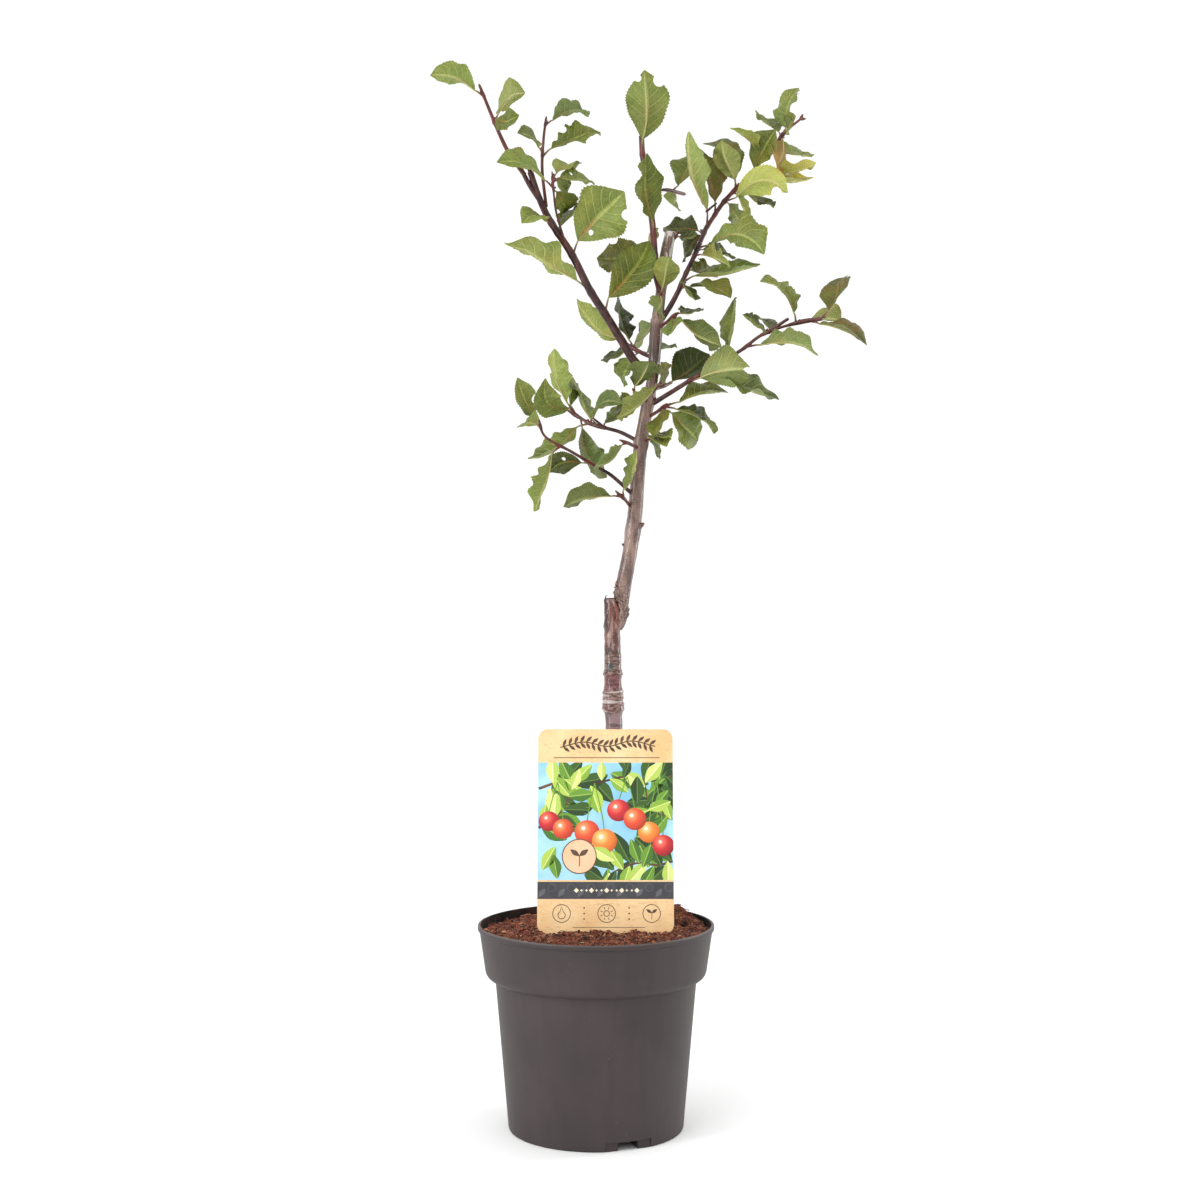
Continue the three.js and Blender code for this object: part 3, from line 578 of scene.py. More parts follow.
# The trunk. A rootstock, red-brown and shiny, that was cut off above the graft and is still wrapped in a
# glossy film, and the scion that grows from its side as a leader: grey-brown bark with a wrinkled heel at
# its foot, buds and rings at its nodes and a cut top. A swelling is (height, extra radius, spread).
soil_seat, clear = 189, 0.3
rootstock = {
    "route": [[17.6, 4, soil_seat + clear], [18.2, 4.6, 300], [16, 5, 395], [15.6, 5, 440], [14.4, 5, 491]],
    "thick": [9.2, 8.2, 7.7, 7.6, 7],
    "swellings": [[189, 3.6, 9], [391, 2.1, 6], [403, 1.5, 4], [421, 0.9, 3], [466, 0.9, 4]],
}
scion = {
    "route": [[21, 5, 462], [25, 5, 499], [31.5, 5.5, 534], [36.7, 6, 574], [42.2, 7, 637], [53, 8, 700],
              [56, 8.5, 738], [60.6, 9.5, 777], [65.2, 10, 811], [69.9, 11, 834.8]],
    "thick": [5.4, 7.4, 6.8, 7, 6.4, 5.3, 6.1, 4.6, 5.9, 5],
    "swellings": [[461, -2.7, 4], [476, 1.3, 8], [555, 0.7, 6], [637, 0.9, 5], [676, 1, 5], [751, 0.6, 3]],
}
film_low, film_high, film_thickness = 385, 441, 0.35
film_rings = [(388, 0.9, 1.6), (393, 0.7, 1.3), (398, 1.0, 1.5), (404, 0.8, 1.2), (408, 0.4, 0.9),
              (421, 0.8, 0.9), (424, 0.5, 0.8), (440.5, 0.4, 0.8)]
graft_height, graft_reach = 484, 11
node_rings = [(749, 0.35), (752, 0.45), (635, 0.25), (639, 0.3), (675, 0.3), (679, 0.25), (560, 0.2),
              (703, 0.2)]
# The bark's folds round the graft run just under its surface
folds = [
    [(18.4, -0.6, 502), (19.4, -2.2, 496), (23, -3.2, 489), (27.2, -2.0, 481), (29.6, 0.8, 474)],
    [(24, -3.2, 497), (26.5, -2.7, 491), (28.4, -1.4, 484.5), (28.6, -0.4, 478)],
    [(15.5, -2.4, 490), (18.5, -3.5, 484), (20, -3.1, 476), (18.5, -2.9, 470)],
    [(24, -2.9, 483), (26.6, -2.4, 479.5), (26.2, -2.3, 475.5), (23.4, -2.6, 475), (22.6, -2.9, 478.5)],
]
fold_radius, fold_sunk, fold_steps = 2.0, 1.5, 14
heel = {
    "route": [[19.6, 1.6, 503], [22.4, 0.6, 495], [25.8, 0.6, 485], [27.4, 2.6, 474]],
    "thick": [2.2, 4.6, 5.2, 2.6],
}
splinter = [(9.6, 1.2, 488.6), (8.6, 0.8, 491.6), (9.0, 0.6, 493.6), (10.4, 0.6, 494.2)]
bark_skin, film_skin, dark_skin, cut_skin, scale_skin, lenticel_skin = range(6)
# Where wood was cut back: a line, its radii, its sides, how far its ends bulge, and its skin. They are the
# rootstock's dark top, the stub beside the graft with its pale cut, and the leader's pale top.
cuts = [
    ([(14.4, 5, 489), (14.4, 5, 491.3), (14.4, 5, 491.8)], [6.3, 6.3, 5.9], 28, 0.05, dark_skin),
    ([(24, 4, 504.4), (20.6, 3.1, 505), (18.2, 2.6, 505.6)], [3.2, 2.9, 2.5], 14, 0.1, bark_skin),
    ([(19, 2.8, 505.5), (17.7, 2.5, 505.8)], [2.1, 2.0], 12, 0.05, cut_skin),
    ([(70, 11, 834.2), (70.1, 11, 835.3)], [4.5, 4.3], 24, 0.05, cut_skin),
]
# A bud on the trunk: its place, the way that it points, its length and its radius
trunk_buds = [
    ((41.5, 2.6, 559.5), (0.85, -0.25, 0.5), 4.6, 2.2), ((26.6, 4, 541), (-0.9, -0.2, 0.5), 3.4, 1.3),
    ((53.6, 4.2, 677), (0.6, -0.6, 0.6), 4.4, 1.7), ((38.4, -0.4, 601), (0.2, -0.95, 0.35), 2.6, 1.1),
    ((58, 3.2, 757), (-0.3, -0.9, 0.4), 3, 1.2),
]
# Lenticels: the limb, from and to which height, and how many
lenticels = [(scion, 505, 830, 110), (rootstock, 441, 488, 24), (rootstock, 300, 384, 40)]


class Curve:
    """A smooth line through the places of a route, followed by its share from 0 to 1"""

    def __init__(self, route):
        inner = np.array(route, float)
        self.spans = len(inner) - 1
        self.places = np.vstack([2 * inner[0] - inner[1], inner, 2 * inner[-1] - inner[-2]])

    def at(self, share):
        along = np.clip(np.asarray(share, float), 0, 1) * self.spans
        first = np.minimum(along.astype(int), self.spans - 1)
        w = (along - first)[..., None]
        p0, p1, p2, p3 = (self.places[first + k] for k in range(4))
        start, end = 0.5 * (p2 - p0), 0.5 * (p3 - p1)
        return p1 + w * (start + w * (3 * (p2 - p1) - 2 * start - end + w * (2 * (p1 - p2) + start + end)))

    def heading(self, share):
        share = np.asarray(share, float)
        return unit(self.at(share + 0.0001) - self.at(share - 0.0001))

    def length(self):
        return float(np.linalg.norm(np.diff(self.at(np.linspace(0, 1, 201)), axis=0), axis=1).sum())


def radius_at(limb, curve, share):
    """A limb's radius, tapered along its route and thickened at its swellings"""
    share = np.asarray(share, float)
    radius = np.interp(share * (len(limb["thick"]) - 1), range(len(limb["thick"])), limb["thick"])
    height = curve.at(share)[..., 2]
    for at, extra, spread in limb.get("swellings", ()):
        radius = radius + extra * np.exp(-(((height - at) / spread) ** 2))
    return radius


def limb_body(limb, sides, spacing, relief=None, level_foot=False, closing=0.15):
    """A tapering limb along its route, with bark relief worked out from turn and height"""
    curve = Curve(limb["route"])
    steps = max(4, round(curve.length() / spacing))
    shares = np.linspace(0, 1, steps + 1)
    middles, along = curve.at(shares), curve.heading(shares)
    if level_foot:
        along[0] = (0, 0, 1)
    overall = unit(middles[-1] - middles[0])
    across = np.array([1.0, 0, 0]) if abs(overall[1]) > 0.8 else np.array([0, 1.0, 0])
    right = unit(np.cross(across, along))
    front = unit(np.cross(along, right))
    turns = all_round(sides)
    radii = radius_at(limb, curve, shares)[:, None] * np.ones(sides)
    if relief is not None:
        radii = radii + relief(turns[None, :], middles[:, 2][:, None])
    rings = rings_round(middles, radii, right, front, turns).reshape(-1, 3)
    lid = middles[-1] + along[-1] * closing * radii[-1].mean()
    places = np.vstack([rings, middles[:1], [lid]])
    return places, closed_walls(steps + 1, sides, len(rings), len(rings) + 1)


def bark_relief(seed, deep, rings=(), graft=None):
    """Long shallow ridges with finer ones across them, rings at nodes, and folds round a graft's height"""
    def relief(turn, height):
        x, y = 7 * np.cos(turn), 7 * np.sin(turn)
        total = 0.5 * ripple((x, y, height / 9), 6, seed) + 0.35 * ripple((x, y, height / 3), 2.6, seed + 1)
        total = deep * (total + 0.3 * ripple((x / 3, y / 3, height), 5, seed + 2))
        for at, size in rings:
            total = total + size * np.exp(-(((height - at) / 0.9) ** 2))
        if graft is not None:
            near = np.exp(-(((height - graft) / graft_reach) ** 2))
            total = total + near * 0.8 * ripple((x, y, height), 5.5, seed + 3)
        return total
    return relief


def heel_relief(turn, height):
    """Deep wrinkles over finer ones"""
    x, y = 4.5 * np.cos(turn), 4.5 * np.sin(turn)
    return 0.85 * ripple((x, y, height), 4.2, 51) + 0.5 * ripple((x, y, height), 1.8, 52)


def film_relief(turn, height):
    """Creases that are deepest low down, and the edges of the turns, each a little askew"""
    x, y = 8 * np.cos(turn), 8 * np.sin(turn)
    total = 0.22 * np.abs(ripple((x / 2.5, y / 2.5, height), 3.4, 43))
    total = total + 0.16 * ripple((x, y, height), 3, 44)
    total = total * (0.45 + 0.55 * np.exp(-(((height - 396) / 12) ** 2)))
    for at, size, spread in film_rings:
        slip = 0.8 * np.sin(turn + at) + 0.3 * np.sin(3 * turn + 2 * at)
        total = total + size * np.exp(-(((height - at - slip) / spread) ** 2))
    return total


def bud(at, toward, length, radius, sides=8):
    """A pointed bud that sits on the bark, a little sunk in"""
    toward = unit(np.array(toward, float))
    steps = np.array([-0.12, 0.12, 0.35, 0.6, 0.82, 0.96])
    full = np.array([0.75, 1.0, 1.0, 0.78, 0.45, 0.14])
    return tube(np.array(at, float) + np.outer(steps * length, toward), radius * full, sides, 0.6)


bark = Paint("bark", "6a5040", 0.5, shine=0.15, coat=(0.85, 0.2))
tall = bark.axis("Z")
flecks = bark.noise(700, 3, stretch=(1, 1, 3.2))
long_grain = bark.noise(300, 4, stretch=(1, 1, 0.09))
patches = bark.noise(75, 4, stretch=(1, 1, 0.45))
young = bark.mix(patches.between(0.36, 0.64), colour("58413a"), colour("8c7167"))
young = bark.mix(long_grain.between(0.46, 0.68) * 0.45, young, colour("38231d"))
young = bark.mix(flecks.between(0.56, 0.68) * 0.5, young, colour("b9a598"))
shaded = tall.between(0.690, 0.715) * (1 - tall.between(0.744, 0.752))
young = bark.mix(shaded * 0.7, young, colour("38241a"))
silver = bark.mix(patches.between(0.36, 0.62), colour("4c3629"), colour("8a7161"))
silver = bark.mix(long_grain.between(0.44, 0.62) * 0.75, silver, colour("38241b"))
# Near-white streaks high on the leader: painted highlights for its glossy bark
glint_streaks = bark.noise(210, 4, stretch=(1, 1, 0.3)).between(0.52, 0.60) * tall.between(0.775, 0.800)
silver = bark.mix(glint_streaks * 0.85, silver, colour("cfc6bf"))
young = bark.mix(tall.between(0.750, 0.754), young, silver)
ochre = bark.noise(48, 3, stretch=(1, 1, 0.3)).between(0.5, 0.62)
rust = bark.mix(patches.between(0.4, 0.6), colour("341416"), colour("6c3c31"))
rust = bark.mix(ochre * 0.7, rust, colour("83602f"))
rust = bark.mix(long_grain.between(0.46, 0.68) * 0.6, rust, colour("210d0e"))
peel = bark.noise(190, 4, stretch=(1, 1, 0.25)).between(0.55, 0.64)
rust = bark.mix(peel * 0.55, rust, colour("a58d86"))
dark_bands = bark.noise(120, 3, stretch=(0.4, 0.4, 2)).between(0.52, 0.60)
low_bark = bark.mix(patches.between(0.38, 0.62), colour("3d2729"), colour("80666a"))
low_bark = bark.mix(dark_bands * 0.7, low_bark, colour("2c191c"))
low_bark = bark.mix(flecks.between(0.55, 0.66) * 0.5, low_bark, colour("917c72"))
old = bark.mix(tall.between(0.380, 0.395), low_bark, rust)
old = bark.mix(flecks.between(0.63, 0.69) * 0.6, old, colour("b89a80"))
heel_share = tall.between(0.458, 0.466) * bark.axis("X").between(0.0205, 0.0225)
wrinkles = 1 - abs(bark.noise(170, 3) - 0.5).between(0.006, 0.035)
wrinkled = tall.between(0.462, 0.470) * (1 - tall.between(0.500, 0.512))
young = bark.mix(wrinkles * wrinkled * 0.8, young, colour("2e1c18"))
old = bark.mix(heel_share, old, young)
bark.set("Base Color", bark.mix(tall.between(0.488, 0.500), old, young))
bark.set("Roughness", 0.26 + 0.16 * patches + 0.16 * long_grain.between(0.4, 0.7))
bark.relief(flecks * 0.45 + long_grain * 0.55, 0.0012, 0.9)

film = Paint("graft_film", "6b4c42", 0.4, shine=0.15, coat=(1.0, 0.06))
tall = film.axis("Z")
smear = film.noise(260, 4, stretch=(1, 1, 2.4))
bands = film.noise(150, 3, stretch=(0.25, 0.25, 2))
wrap = film.mix(smear.between(0.40, 0.60), colour("43221c"), colour("825f58"))
wrap = film.mix(bands.between(0.50, 0.62) * 0.75, wrap, colour("b3a8a4"))
purple = film.mix(smear.between(0.4, 0.65), colour("4c2226"), colour("784546"))
brown = film.mix(smear.between(0.4, 0.6), colour("3f261c"), colour("73594c"))
wrap = film.mix(tall.between(0.405, 0.409) * (1 - tall.between(0.419, 0.422)), wrap, purple)
wrap = film.mix(tall.between(0.421, 0.424) * 0.6, wrap, brown)
smudge_at = (0.0125, -0.0035, 0.4285)
smudge = film.node("ShaderNodeVectorMath", {"operation": "DISTANCE"},
                   {0: film.place(), 1: smudge_at}, "Value")
smudge = smudge + 0.004 * smear
film.set("Base Color", film.mix(1 - smudge.between(0.0045, 0.0075), wrap, colour("2e302d")))
film.set("Roughness", 0.16 + 0.3 * smear)
film.relief(smear * 0.5 + bands * 0.5, 0.0014, 0.9)

trunk_paints = [bark, film]
for name, base, roughness, low, high in (("dark_wood", "33231f", 0.6, "261917", "47332c"),
                                         ("cut_wood", "c4ab98", 0.75, "a98a74", "dcc8b4"),
                                         ("bud_scales", "54302a", 0.42, "3c211c", "74493b"),
                                         ("lenticel", "a58d7c", 0.7, "8d7565", "b9a494")):
    paint = Paint(name, base, roughness)
    trunk_paints.append(mottled(paint, low, high, 420, 0.14, paint.noise(900, 3), 0.0003))

trunk = Heap()
trunk.add(*limb_body(rootstock, 56, 1.4, bark_relief(21, 0.38), True, -0.1))
trunk.add(*limb_body(scion, 52, 1.4, bark_relief(31, 0.3, node_rings, graft_height)))
stock = Curve(rootstock["route"])
shares = np.linspace(0, 1, 600)
heights = stock.at(shares)[:, 2]
wrapped = shares[(heights > film_low) & (heights < film_high)][::8]
sleeve = {"route": stock.at(wrapped), "thick": radius_at(rootstock, stock, wrapped) + film_thickness}
trunk.add(*limb_body(sleeve, 72, 0.5, film_relief, closing=0), which=film_skin)
trunk.add(*limb_body(heel, 40, 0.8, heel_relief, closing=0.8))
for line in folds:
    fold = Curve(line).at(np.linspace(0, 1, fold_steps)) + [0, fold_sunk, 0]
    swell = np.sin(np.linspace(0.5, math.pi - 0.35, fold_steps))
    trunk.add(*tube(fold, fold_radius * swell, 12, 0.4), which=bark_skin)
trunk.add(*tube(Curve(splinter).at(np.linspace(0, 1, 9)), np.linspace(0.8, 0.25, 9), 7), which=dark_skin)
for line, radii, sides, bulge, skin in cuts:
    trunk.add(*tube(line, radii, sides, bulge), which=skin)
for at, toward, length, radius in trunk_buds:
    trunk.add(*bud(at, toward, length, radius, 10), which=scale_skin)
    collar = np.array(at) + np.outer([-1.5, 0, 0.9], toward)
    trunk.add(*tube(collar, [radius * 1.5, radius * 1.35, radius], 12, 0.2), which=bark_skin)
for limb, low, high, count in lenticels:
    curve = Curve(limb["route"])
    for _ in range(count):
        height = chance.uniform(low, high)
        share = float(np.interp(height, curve.at(shares)[:, 2], shares))
        turn = chance.uniform(0, 2 * math.pi)
        out = np.array([math.cos(turn), math.sin(turn), 0])
        at = curve.at(share) + out * (float(radius_at(limb, curve, share)) + 0.02)
        beside = np.array([-out[1], out[0], 0])
        flat = np.outer(crumb_corners @ beside, beside) * chance.uniform(0.5, 1.1)
        flat = flat + np.outer(crumb_corners @ out, out) * 0.24
        flat = flat + crumb_corners * np.array([0, 0, 1]) * chance.uniform(0.22, 0.4)
        trunk.add(flat + at, crumb_faces, which=lenticel_skin)
trunk.put("trunk_bark", trunk_paints, "bark", ["trunk"], crease=50)


# The card. A plant label of kraft board, cut with round corners and printed on its front: a sprig and a
# rule at its head, a bright picture of paired fruit under a branch, a dark band, and three small signs at
# its foot. Print lies on the board in levels, each a little over the one below.
card_width, card_length, card_thickness, card_corner = 124.5, 187, 1.2, 9
card_bevel, corner_steps = 0.15, 12
card_foot, card_lean = np.array([8.75, -42, 186.5]), math.radians(11.2)
card_up = np.array([0, math.sin(card_lean), math.cos(card_lean)])
card_out = np.array([0, -math.cos(card_lean), math.sin(card_lean)])
print_foot, print_face, print_step = 0.3, 0.62, 0.03
edge = card_width / 2 - 0.05
picture_low, picture_high = 48.6, 156
band_low, band_high = 31.5, 47
branches = [
    [(-61.5, 132), (-38, 139), (-10, 137), (18, 143), (44, 139), (61.5, 144)],
    [(-61.5, 96), (-48, 104), (-36, 118), (-30, 136)],
    [(61.5, 66), (48, 62), (30, 64), (12, 58), (-2, 50)],
    [(61.5, 104), (50, 108), (40, 118), (36, 138)],
]
branch_steps = 40
# Two layers of leaves along the branches: level, how far they stray, shades, shortest and longest, spacing
back_leaves, front_leaves = (1, 9, (0, 0, 1), (22, 34), 4), (4, 3, (1, 2, 0, 3), (17, 27), 3)
# A pair of fruit: where its stalks start, the two fruits, their radius, and the shade of the first
pairs = [((-44, 138), [(-52, 102), (-39, 95)], 9.5, 0), ((-10, 137), [(-17, 92), (-1, 84)], 11.5, 1),
         ((20, 143), [(12, 112), (27, 104)], 10.5, 0), ((47, 139), [(40, 92), (53, 80)], 10, 2)]
# A loose leaf: its foot, heading, length and shade
loose_leaves = [((-58, 58), 60, 24, 2), ((-44, 50), 100, 22, 1), ((8, 66), 150, 24, 3),
                ((60, 120), 200, 22, 2), ((-24, 150), 250, 20, 3), ((34, 60), 70, 22, 1)]
badge_at, badge_radius = (-24, 70), 15.5
head_rule, foot_rule = [(-48, 160.5), (50, 160.5)], [(-30, 6), (36, 6)]
head_sprig = [(-42, 170, 0), (-20, 175, 0), (2, 171, 0), (24, 176, 0), (46, 171, 0)]
drop_x, sun_x, sprout_x, sign_height, sign_radius = -40, 1, 42, 18.5, 8
fine_line = 0.7
print_chance = np.random.default_rng(23)


def on_card(across, up, out):
    across, up, out = (np.asarray(v, float)[..., None] for v in np.broadcast_arrays(across, up, out))
    return card_foot + across * np.array([1.0, 0, 0]) + up * card_up + out * card_out


def prism(loops):
    """A closed body whose cross section runs through loops of places, one wall between each two"""
    count = len(loops[0])
    ends = [tuple(range(count))[::-1], tuple(range((len(loops) - 1) * count, len(loops) * count))]
    return np.vstack(loops), ends + walls(len(loops), count)


def card_outline(inset):
    """The board's outline with its round corners, drawn in by inset"""
    middle = card_width / 2 - card_corner
    turns = np.linspace(0, math.pi / 2, corner_steps)
    corners = [(middle, card_corner, -math.pi / 2), (middle, card_length - card_corner, 0),
               (-middle, card_length - card_corner, math.pi / 2), (-middle, card_corner, math.pi)]
    return np.array([(x + (card_corner - inset) * math.cos(start + turn),
                      y + (card_corner - inset) * math.sin(start + turn))
                     for x, y, start in corners for turn in turns])


def ellipse(at, half_length, half_breadth, turn, pointed=0.0, steps=36):
    """An outline round at, and pointed like a leaf where pointed is 1"""
    a = all_round(steps)
    along, across = np.cos(a), np.sin(a) * (1 - pointed * 0.55 * np.abs(np.cos(a)) ** 1.5)
    c, s = math.cos(turn), math.sin(turn)
    return np.stack([at[0] + along * half_length * c - across * half_breadth * s,
                     at[1] + along * half_length * s + across * half_breadth * c], axis=1)


def trimmed(outline):
    """The part of an outline that lies inside the picture"""
    for axis, limit, sign in ((0, -edge, 1), (0, edge, -1), (1, picture_low, 1), (1, picture_high, -1)):
        kept = []
        for first, second in zip(outline, np.roll(outline, -1, axis=0)):
            a, b = sign * (first[axis] - limit), sign * (second[axis] - limit)
            if a >= 0:
                kept.append(first)
            if a * b < 0:
                kept.append(first + (second - first) * a / (a - b))
        if len(kept) < 3:
            return None
        outline = np.array(kept)
    return outline


def printed(outline, level, paint, seat=((0, 0), 1, 1, 0)):
    """A flat patch of ink on the card's face; seat says where its shade's own middle lies"""
    if outline is None:
        return
    (x, y), half_length, half_breadth, turn = seat
    low = on_card(outline[:, 0], outline[:, 1], print_foot)
    high = on_card(outline[:, 0], outline[:, 1], print_face + print_step * level)
    places, faces = prism([low, high])
    c, s = math.cos(turn), math.sin(turn)
    local = np.stack([((outline[:, 0] - x) * c + (outline[:, 1] - y) * s) / half_length,
                      ((outline[:, 1] - y) * c - (outline[:, 0] - x) * s) / half_breadth], axis=1)
    local = np.vstack([local, local]) * 0.5 + 0.5
    ink.add(places, faces, paint, {"print": np.array([local[k] for face in faces for k in face])})


def stroke(line, width, level, paint, closed=False):
    """A printed line"""
    line = np.asarray(line, float)
    around = np.roll(line, -1, axis=0) - np.roll(line, 1, axis=0)
    onward = around if closed else np.gradient(line, axis=0)
    beside = unit(np.stack([-onward[:, 1], onward[:, 0]], axis=1)) * np.reshape(width, (-1, 1)) / 2
    last = len(line) if closed else len(line) - 1
    left, right = line + beside, line - beside
    for k in range(last):
        m = (k + 1) % len(line)
        printed(np.array([right[k], right[m], left[m], left[k]]), level, paint)


def ring(at, radius, width, level, paint):
    turns = all_round(40)
    stroke(np.stack([at[0] + radius * np.cos(turns), at[1] + radius * np.sin(turns)], axis=1),
           width, level, paint, True)


def leaf_print(at, heading, length, breadth, level, paint):
    turn = math.radians(heading)
    middle = (at[0] + math.cos(turn) * length / 2, at[1] + math.sin(turn) * length / 2)
    outline = trimmed(ellipse(middle, length / 2, breadth / 2, turn, 1))
    printed(outline, level, paint, (middle, length / 2, breadth / 2, turn))


insets = [(-card_thickness / 2, card_bevel), (card_bevel - card_thickness / 2, 0),
          (card_thickness / 2 - card_bevel, 0), (card_thickness / 2, card_bevel)]
plate_loops = []
for out, inset in insets:
    outline = card_outline(inset)
    plate_loops.append(on_card(outline[:, 0], outline[:, 1], out))

kraft = Paint("kraft", "e6bf8b", 0.62, shine=0.35)
pulp = kraft.noise(26, 3)
hairs = kraft.noise(520, 4, stretch=(0.35, 1, 1))
shade = kraft.mix(pulp.between(0.3, 0.7), colour("dfb57f"), colour("ecca9a"))
shade = kraft.mix(hairs.between(0.56, 0.66) * 0.30, shade, colour("b98a58"))
shade = kraft.mix(kraft.noise(800, 3).between(0.60, 0.70) * 0.45, shade, colour("f6e2bf"))
kraft.set("Base Color", shade)
kraft.set("Roughness", 0.56 + 0.12 * hairs)
kraft.relief(hairs, 0.00012, 0.5)
put("card_board", *prism(plate_loops), [kraft], "card", ["card"], crease=30)

print_paints = []


def print_paint(name, base, other, size=60):
    """An ink that changes softly between two shades, and its number in the print"""
    paint = Paint(name, base, 0.42, shine=0.4)
    share = paint.noise(size, 4).between(0.35, 0.65)
    paint.set("Base Color", paint.mix(share, colour(base), colour(other)))
    paint.set("Roughness", 0.36 + 0.14 * paint.noise(300, 2))
    print_paints.append(paint)
    return len(print_paints) - 1


sky_ink = print_paint("sky_ink", "7fb9dc", "a9d6ee", 24)
dark_ink = print_paint("dark_ink", "4d3a2c", "5e4837", 200)
peach_ink = print_paint("peach_ink", "eab48c", "f0c09c", 40)
charcoal_ink = print_paint("charcoal_ink", "3a3a3e", "444448", 90)
grey_ink = print_paint("grey_ink", "56565a", "606064", 90)
pale_ink = print_paint("pale_ink", "ecd9b8", "f4e6cc", 90)
twig_ink = print_paint("twig_ink", "3d2c22", "6a4a34", 150)

leaf_inks, fruit_inks = [], []
for name, low, high, rib in (("deep_leaf_ink", "1f3a17", "35561f", "5d7c3a"),
                             ("mid_leaf_ink", "3c6a22", "62902f", "9dbb57"),
                             ("bright_leaf_ink", "7ba534", "a8c44e", "d6e08c"),
                             ("lime_leaf_ink", "a9c454", "cfdd7e", "eef0b4")):
    leaf_inks.append(print_paint(name, low, high))
    paint = print_paints[-1]
    along, across = (paint.axis(letter, paint.on_map("print")) for letter in "XY")
    blend = (across + 0.35 * paint.noise(90, 3)).between(0.58, 0.78)
    shade = paint.mix(blend, colour(low), colour(high))
    veins = (((along - abs(across - 0.5) * 0.7) * 44).sine()).between(0.72, 1.0)
    shade = paint.mix(veins * 0.25, shade, colour(rib))
    paint.set("Base Color", paint.mix(1 - abs(across - 0.5).between(0.015, 0.05), shade, colour(rib)))
for name, deep, main, glow in (("crimson_fruit_ink", "7c1420", "c52f33", "f0705a"),
                               ("scarlet_fruit_ink", "9c2a1c", "dd5233", "f6945e"),
                               ("orange_fruit_ink", "b2521c", "ec8638", "fbc07a")):
    fruit_inks.append(print_paint(name, main, main))
    paint = print_paints[-1]
    offset = paint.node("ShaderNodeVectorMath", {"operation": "DISTANCE"},
                        {0: paint.on_map("print"), 1: (0.36, 0.66, 0)}, "Value")
    stops = [(0.07, colour("fff1e2")), (0.13, colour(glow)), (0.36, colour(main)), (0.75, colour(deep))]
    paint.set("Base Color", paint.node("ShaderNodeValToRGB", {"stops": stops},
                                       {"Fac": offset + 0.06 * paint.noise(110, 3)}))


def field(low, high, level, paint):
    """A flat patch right across the card"""
    printed(np.array([(-edge, low), (edge, low), (edge, high), (-edge, high)]), level, paint)


ink = Heap()
field(picture_low, picture_high, 0, sky_ink)
for level, spread, inks, lengths, spacing in (back_leaves, front_leaves):
    for branch in branches:
        line = Curve([(x, y, 0) for x, y in branch]).at(np.linspace(0, 1, branch_steps))[:, :2]
        if level == front_leaves[0]:
            stroke(line, np.linspace(2.6, 1.2, branch_steps), level - 1, twig_ink)
        for k in range(2, branch_steps - 1, spacing):
            heading = math.degrees(math.atan2(*(line[k] - line[k - 1])[::-1]))
            side = 1 if (k // 3) % 2 else -1
            length = print_chance.uniform(*lengths)
            at = line[k] + print_chance.uniform(-spread, spread, 2)
            leaf_print(at, heading + side * print_chance.uniform(40, 85), length,
                       length * print_chance.uniform(0.42, 0.56), level + 0.1 * (k % 7),
                       leaf_inks[int(print_chance.choice(inks))])
for (x, y), fruits, size, shade in pairs:
    for number, (fruit_x, fruit_y) in enumerate(fruits):
        stem = Curve([(x, y, 0), (fruit_x * 0.7 + x * 0.3, fruit_y * 0.5 + y * 0.5, 0),
                      (fruit_x, fruit_y + size * 0.8, 0)]).at(np.linspace(0, 1, 14))[:, :2]
        stroke(stem, 0.9, 6 + 0.2 * number, leaf_inks[1])
        fruit = trimmed(ellipse((fruit_x, fruit_y), size, size * 0.96, 0))
        printed(fruit, 7 + number, fruit_inks[(shade + number) % 3], ((fruit_x, fruit_y), size, size, 0))
for foot, heading, length, shade in loose_leaves:
    leaf_print(foot, heading, length, length * 0.5, 9, leaf_inks[shade])
printed(ellipse(badge_at, badge_radius, badge_radius, 0), 10, peach_ink)
ring(badge_at, badge_radius, 0.9, 11, dark_ink)


def sprout(x, y, size, level, paint):
    """A stem with two leaves"""
    stem = [(x, y - size), (x + 0.04 * size, y - 0.3 * size), (x, y + 0.1 * size)]
    stroke(stem, 0.1 * size, level, paint)
    for heading in (35, 145):
        turn = math.radians(heading)
        at = (x + math.cos(turn) * size * 0.55, y + 0.05 * size + math.sin(turn) * size * 0.55)
        printed(ellipse(at, size * 0.56, size * 0.26, turn, 1), level, paint)


sprout(*badge_at, 9, 11, dark_ink)

stroke(head_rule, fine_line, 1, dark_ink)
sprig = Curve(head_sprig).at(np.linspace(0, 1, 34))[:, :2]
stroke(sprig, 1.1, 1, dark_ink)
for k in range(1, len(sprig) - 1, 2):
    heading = math.degrees(math.atan2(*(sprig[k + 1] - sprig[k])[::-1]))
    for side in (-1, 1):
        turn = math.radians(heading + side * 52)
        at = sprig[k] + np.array([math.cos(turn), math.sin(turn)]) * 4
        printed(ellipse(at, 3.7, 1.45, turn, 1), 1, dark_ink)

field(band_low, band_high, 1, charcoal_ink)
band_middle = (band_low + band_high) / 2
for k in range(14):
    x = -58 + k * 8.9
    if k % 2:
        ring((x, band_middle + 2.5), 3.4, 0.5, 2, grey_ink)
    else:
        printed(ellipse((x, band_middle - 2), 4.6, 2.3, 0.9, 1), 2, grey_ink)
for k in range(-6, 7):
    size, middle = 2.3 if k % 3 == 0 else 1.1, k * 4.6 + 1
    diamond = [(middle + size * x, band_middle + size * y) for x, y in ((0, -1), (1, 0), (0, 1), (-1, 0))]
    printed(np.array(diamond), 3, pale_ink)

